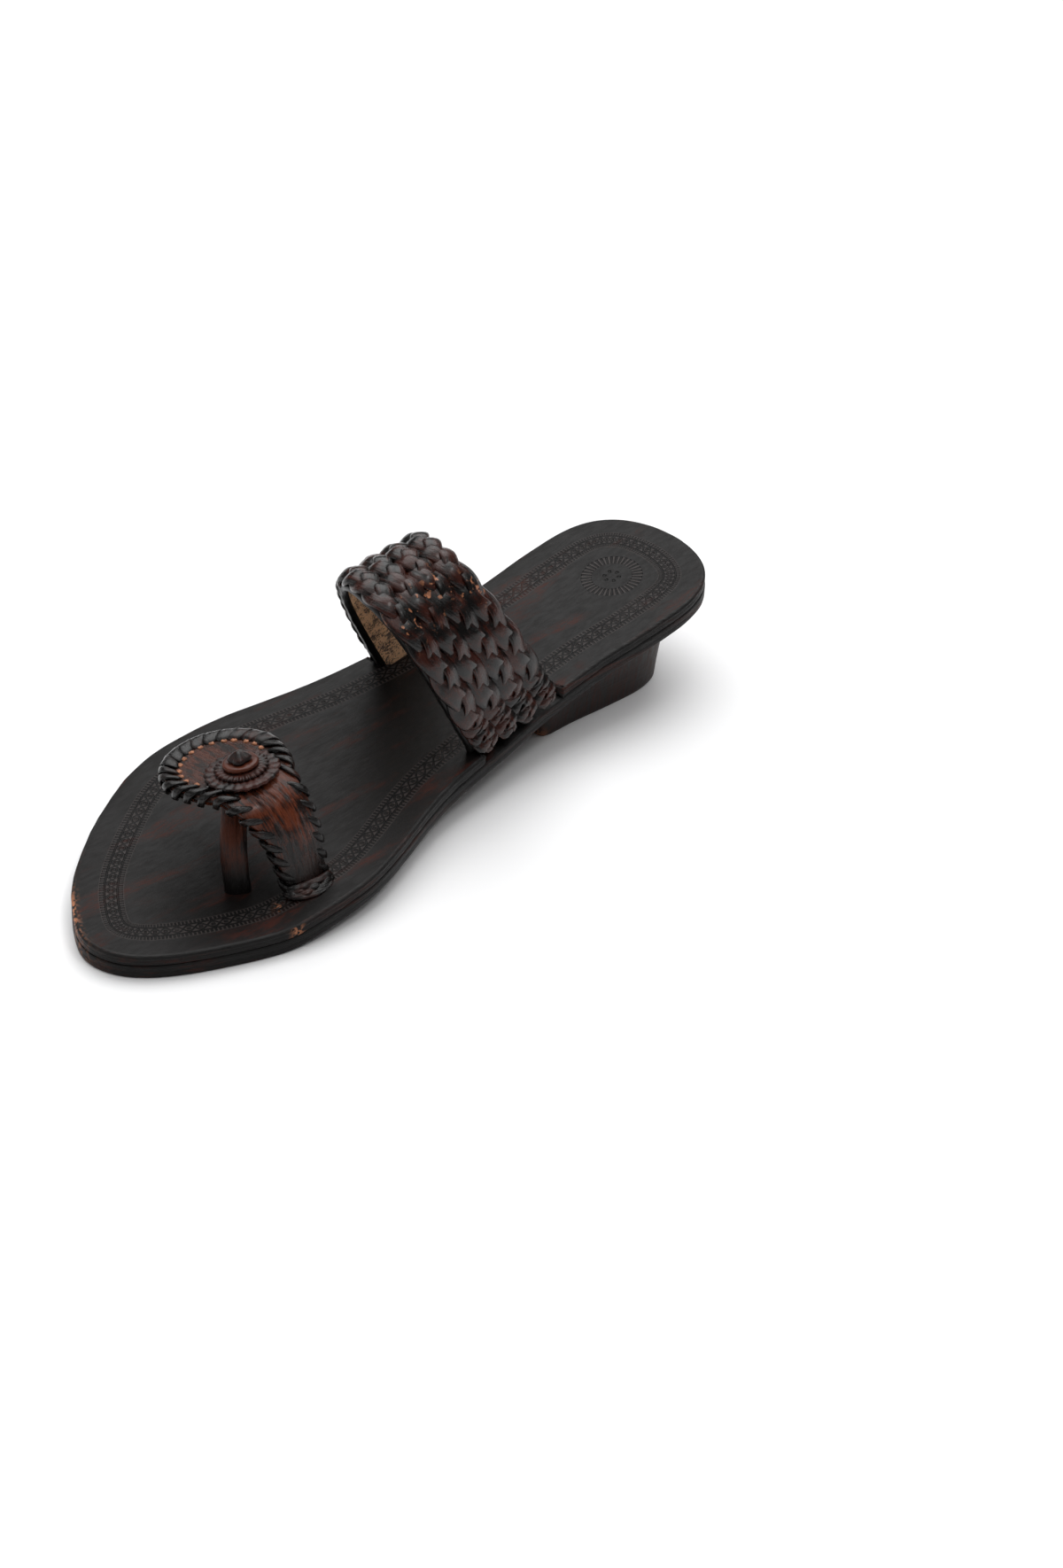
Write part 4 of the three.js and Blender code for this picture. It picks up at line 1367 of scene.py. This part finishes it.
class SANDAL_OT_rosette(bpy.types.Operator):
    """Wavy washer, toothed ring, cap and folded knot on the toe disc"""

    bl_idname = "sandal.rosette"
    bl_label = "Rosette"

    def execute(self, context):
        colours = context.scene.sandal_colours
        dark = band_leather(
            "Rosette leather", shade(colours.dark, 1.5), shade(colours.rubbed, 1.3), colours,
            warmth=(0.38, 0.62), gloss=(0.28, 0.46), coat=0.35, crease=0.35,
        )
        cap = band_leather(
            "Rosette cap leather", colours.rubbed, shade(colours.bright, 0.7), colours,
            warmth=(0.35, 0.6), gloss=(0.3, 0.45), coat=0.35, crease=0.2,
        )
        level = TOE_STRAP_THICK / 2 + 2 * FIT_GAP
        layers = (
            ("washer_scalloped", "rosette_washer", dark, WASHER_THICK, WASHER_RADIUS, 0.6, 22, 0.3),
            ("ring_toothed", "rosette_ring", dark, RING_THICK, RING_RADIUS, 0.75, 26, 0.55),
            ("cap_smooth", "rosette_cap", cap, CAP_THICK, CAP_RADIUS, 0.0, 1, 0.0),
        )
        for name, cad_node, material, thick, *rim in layers:
            self.disc(name, cad_node, material, level, thick, *rim)
            level += thick + FIT_GAP
        self.knot(level, colours)
        return {"FINISHED"}

    def place(self, x, y, z):
        """From the rosette's own axes to the part's frame."""
        origin = Vector((*ROSETTE, disc_height(*ROSETTE)))
        turn = Vector((0, 0, 1)).rotation_difference(TOE_NORMAL).to_matrix()
        return origin + turn @ Vector((x, y, z))

    def disc(self, name, cad_node, material, level, thick, radius, wave, teeth, emboss):
        """A leather disc: rounded rim, teeth cut round it and radial creases pressed in."""
        rings = table(
            "inset height",
            (2.2, -0.25), (0.5, -0.25), (0.05, 0.2), (0.0, 0.55), (0.15, 0.85), (0.5, 1.0),
            (1.1, 1.04), (1.8, 1.02), (2.6, 1.0), (3.4, 1.0),
        )
        sides = max(72, teeth * 8)
        points, uvs = [], []
        for row in rings:
            for k in range(sides):
                angle = 2 * math.pi * k / sides
                tooth = (1 - math.cos(teeth * angle)) / 2
                near_rim = clamp(1 - row["inset"] / 3.0)
                reach = radius - row["inset"] - wave * tooth * near_rim
                height = thick * row["height"] - emboss * tooth * near_rim * (row["height"] > 0.5)
                height += wobble(angle * 3, row["inset"], level, 1.4, 0.12)
                points.append(self.place(reach * math.cos(angle), reach * math.sin(angle), level + height))
                uvs.append((angle * radius, row["inset"]))
        piece = Piece()
        piece.add(points, tube_faces(len(rings), sides), uvs)
        piece.build(name, (material,), "rosette", (cad_node,))

    def knot(self, level, colours):
        """Four-sided pointed knot with soft ridges."""
        rings = table(
            "share height corner",
            (0.78, -0.3, 0.1), (0.95, 0.15, 0.12), (1.0, 0.6, 0.16), (0.86, 1.25, 0.2), (0.6, 2.05, 0.2),
            (0.34, 2.7, 0.16), (0.12, 3.05, 0.08),
        )
        sides = 40
        points, uvs = [], []
        for row in rings:
            for k in range(sides):
                angle = 2 * math.pi * k / sides
                corner = 1 - row["corner"] * (1 - abs(math.sin(2 * angle))) * 1.5
                reach = KNOB_RADIUS * row["share"] * corner
                x, y = reach * math.cos(angle), reach * math.sin(angle)
                points.append(self.place(x, y, level + row["height"]))
                uvs.append((angle * 3, row["height"]))
        piece = Piece()
        piece.add(points, tube_faces(len(rings), sides), uvs)
        leather = band_leather(
            "Knot leather", shade(colours.dark, 1.6), shade(colours.rubbed, 0.8), colours,
            gloss=(0.3, 0.5), coat=0.3, crease=0.3,
        )
        piece.build("knot", (leather,), "knot", ("post_knob",))


# ---- stage ----------------------------------------------------------------------------------
CAMERA_AT = Vector((0.61722, -0.57987, 0.59005))
CAMERA_RIGHT = Vector((0.70539, 0.70803, 0.03348))
CAMERA_DOWN = Vector((0.42487, -0.38454, -0.81952))
CAMERA_LENS = 75.41
AIR_STRENGTH = 0.1
SOFTBOXES = table(
    "name place spread strength",
    ("key_light", (-0.6, 0.55, 1.25), 64, 2.3),
    ("fill_light", (0.1, 0.25, 1.6), 84, 1.25),
    ("glint_light", (0.55, 0.2, 1.1), 10, 0.3),
    ("toe_light", (-0.55, -0.95, 0.55), 40, 0.4),
)


class SANDAL_OT_stage(bpy.types.Operator):
    """Pale floor, soft studio lights and the camera"""

    bl_idname = "sandal.stage"
    bl_label = "Stage"

    def execute(self, context):
        scene = context.scene
        self.floor(scene)
        for row in SOFTBOXES:
            self.softbox(scene, row)
        world = bpy.data.worlds.new("Studio air")
        world.use_nodes = True
        background = world.node_tree.nodes["Background"]
        background.inputs["Color"].default_value = (1.0, 1.0, 1.0, 1.0)
        background.inputs["Strength"].default_value = AIR_STRENGTH
        scene.world = world
        scene.view_settings.view_transform = "Standard"
        self.camera(scene)
        return {"FINISHED"}

    def floor(self, scene):
        """Flat pale sheet, wide enough that its far edge stays out of the camera's view."""
        rows, reach = 24, 4.0
        mesh = bpy.data.meshes.new("floor")
        points, faces = [], []
        for i in range(rows + 1):
            for k in range(rows + 1):
                points.append((lerp(-reach, reach, i / rows), lerp(-reach, reach, k / rows), 0.0))
        for i in range(rows):
            for k in range(rows):
                a = i * (rows + 1) + k
                faces.append((a, a + 1, a + rows + 2, a + rows + 1))
        mesh.from_pydata(points, [], faces)
        mesh.materials.append(floor_material(scene.sandal_colours))
        floor = bpy.data.objects.new("floor", mesh)
        scene.collection.objects.link(floor)

    def softbox(self, scene, row):
        light = bpy.data.lights.new(row["name"], "SUN")
        light.angle = math.radians(row["spread"])
        light.energy = row["strength"]
        lamp = bpy.data.objects.new(row["name"], light)
        lamp.location = row["place"]
        lamp.rotation_euler = (-Vector(row["place"])).to_track_quat("-Z", "Y").to_euler()
        scene.collection.objects.link(lamp)

    def camera(self, scene):
        data = bpy.data.cameras.new("camera")
        data.sensor_fit = "VERTICAL"
        data.sensor_height = 36.0
        data.lens = CAMERA_LENS
        data.clip_start, data.clip_end = 0.05, 20.0
        camera = bpy.data.objects.new("camera", data)
        back = CAMERA_RIGHT.cross(-CAMERA_DOWN)
        turn = Matrix((CAMERA_RIGHT, -CAMERA_DOWN, back)).transposed()
        camera.matrix_world = Matrix.Translation(CAMERA_AT) @ turn.to_4x4()
        scene.collection.objects.link(camera)
        scene.camera = camera


class SANDAL_PT_panel(bpy.types.Panel):
    """Lists the sandal's settings and steps"""

    bl_idname = "SANDAL_PT_panel"
    bl_label = "Kolhapuri sandal"
    bl_space_type = "VIEW_3D"
    bl_region_type = "UI"
    bl_category = "Sandal"

    def draw(self, context):
        for settings in (context.scene.sandal_sizes, context.scene.sandal_colours):
            box = self.layout.box()
            for name in settings.bl_rna.properties.keys():
                if name not in ("rna_type", "name"):
                    box.prop(settings, name)
        for step in STEPS:
            self.layout.operator(step.bl_idname)


STEPS = (
    SANDAL_OT_footbed, SANDAL_OT_outsole, SANDAL_OT_instep_strap, SANDAL_OT_toe_strap,
    SANDAL_OT_post, SANDAL_OT_rosette, SANDAL_OT_stage,
)
CLASSES = (SandalSizes, SandalColours, *STEPS, SANDAL_PT_panel)


def register():
    for cls in CLASSES:
        bpy.utils.register_class(cls)
    bpy.types.Scene.sandal_sizes = bpy.props.PointerProperty(type=SandalSizes)
    bpy.types.Scene.sandal_colours = bpy.props.PointerProperty(type=SandalColours)


def unregister():
    del bpy.types.Scene.sandal_colours
    del bpy.types.Scene.sandal_sizes
    for cls in reversed(CLASSES):
        bpy.utils.unregister_class(cls)


def main():
    register()
    GROUPS.update(
        grain=grain_group(), streaks=streak_group(), border=tooling_group(), ring=heel_ring_group()
    )
    bpy.ops.sandal.footbed()
    bpy.ops.sandal.outsole()
    bpy.ops.sandal.instep_strap()
    bpy.ops.sandal.toe_strap()
    bpy.ops.sandal.post()
    bpy.ops.sandal.rosette()
    bpy.ops.sandal.stage()


if __name__ == "__main__":
    main()
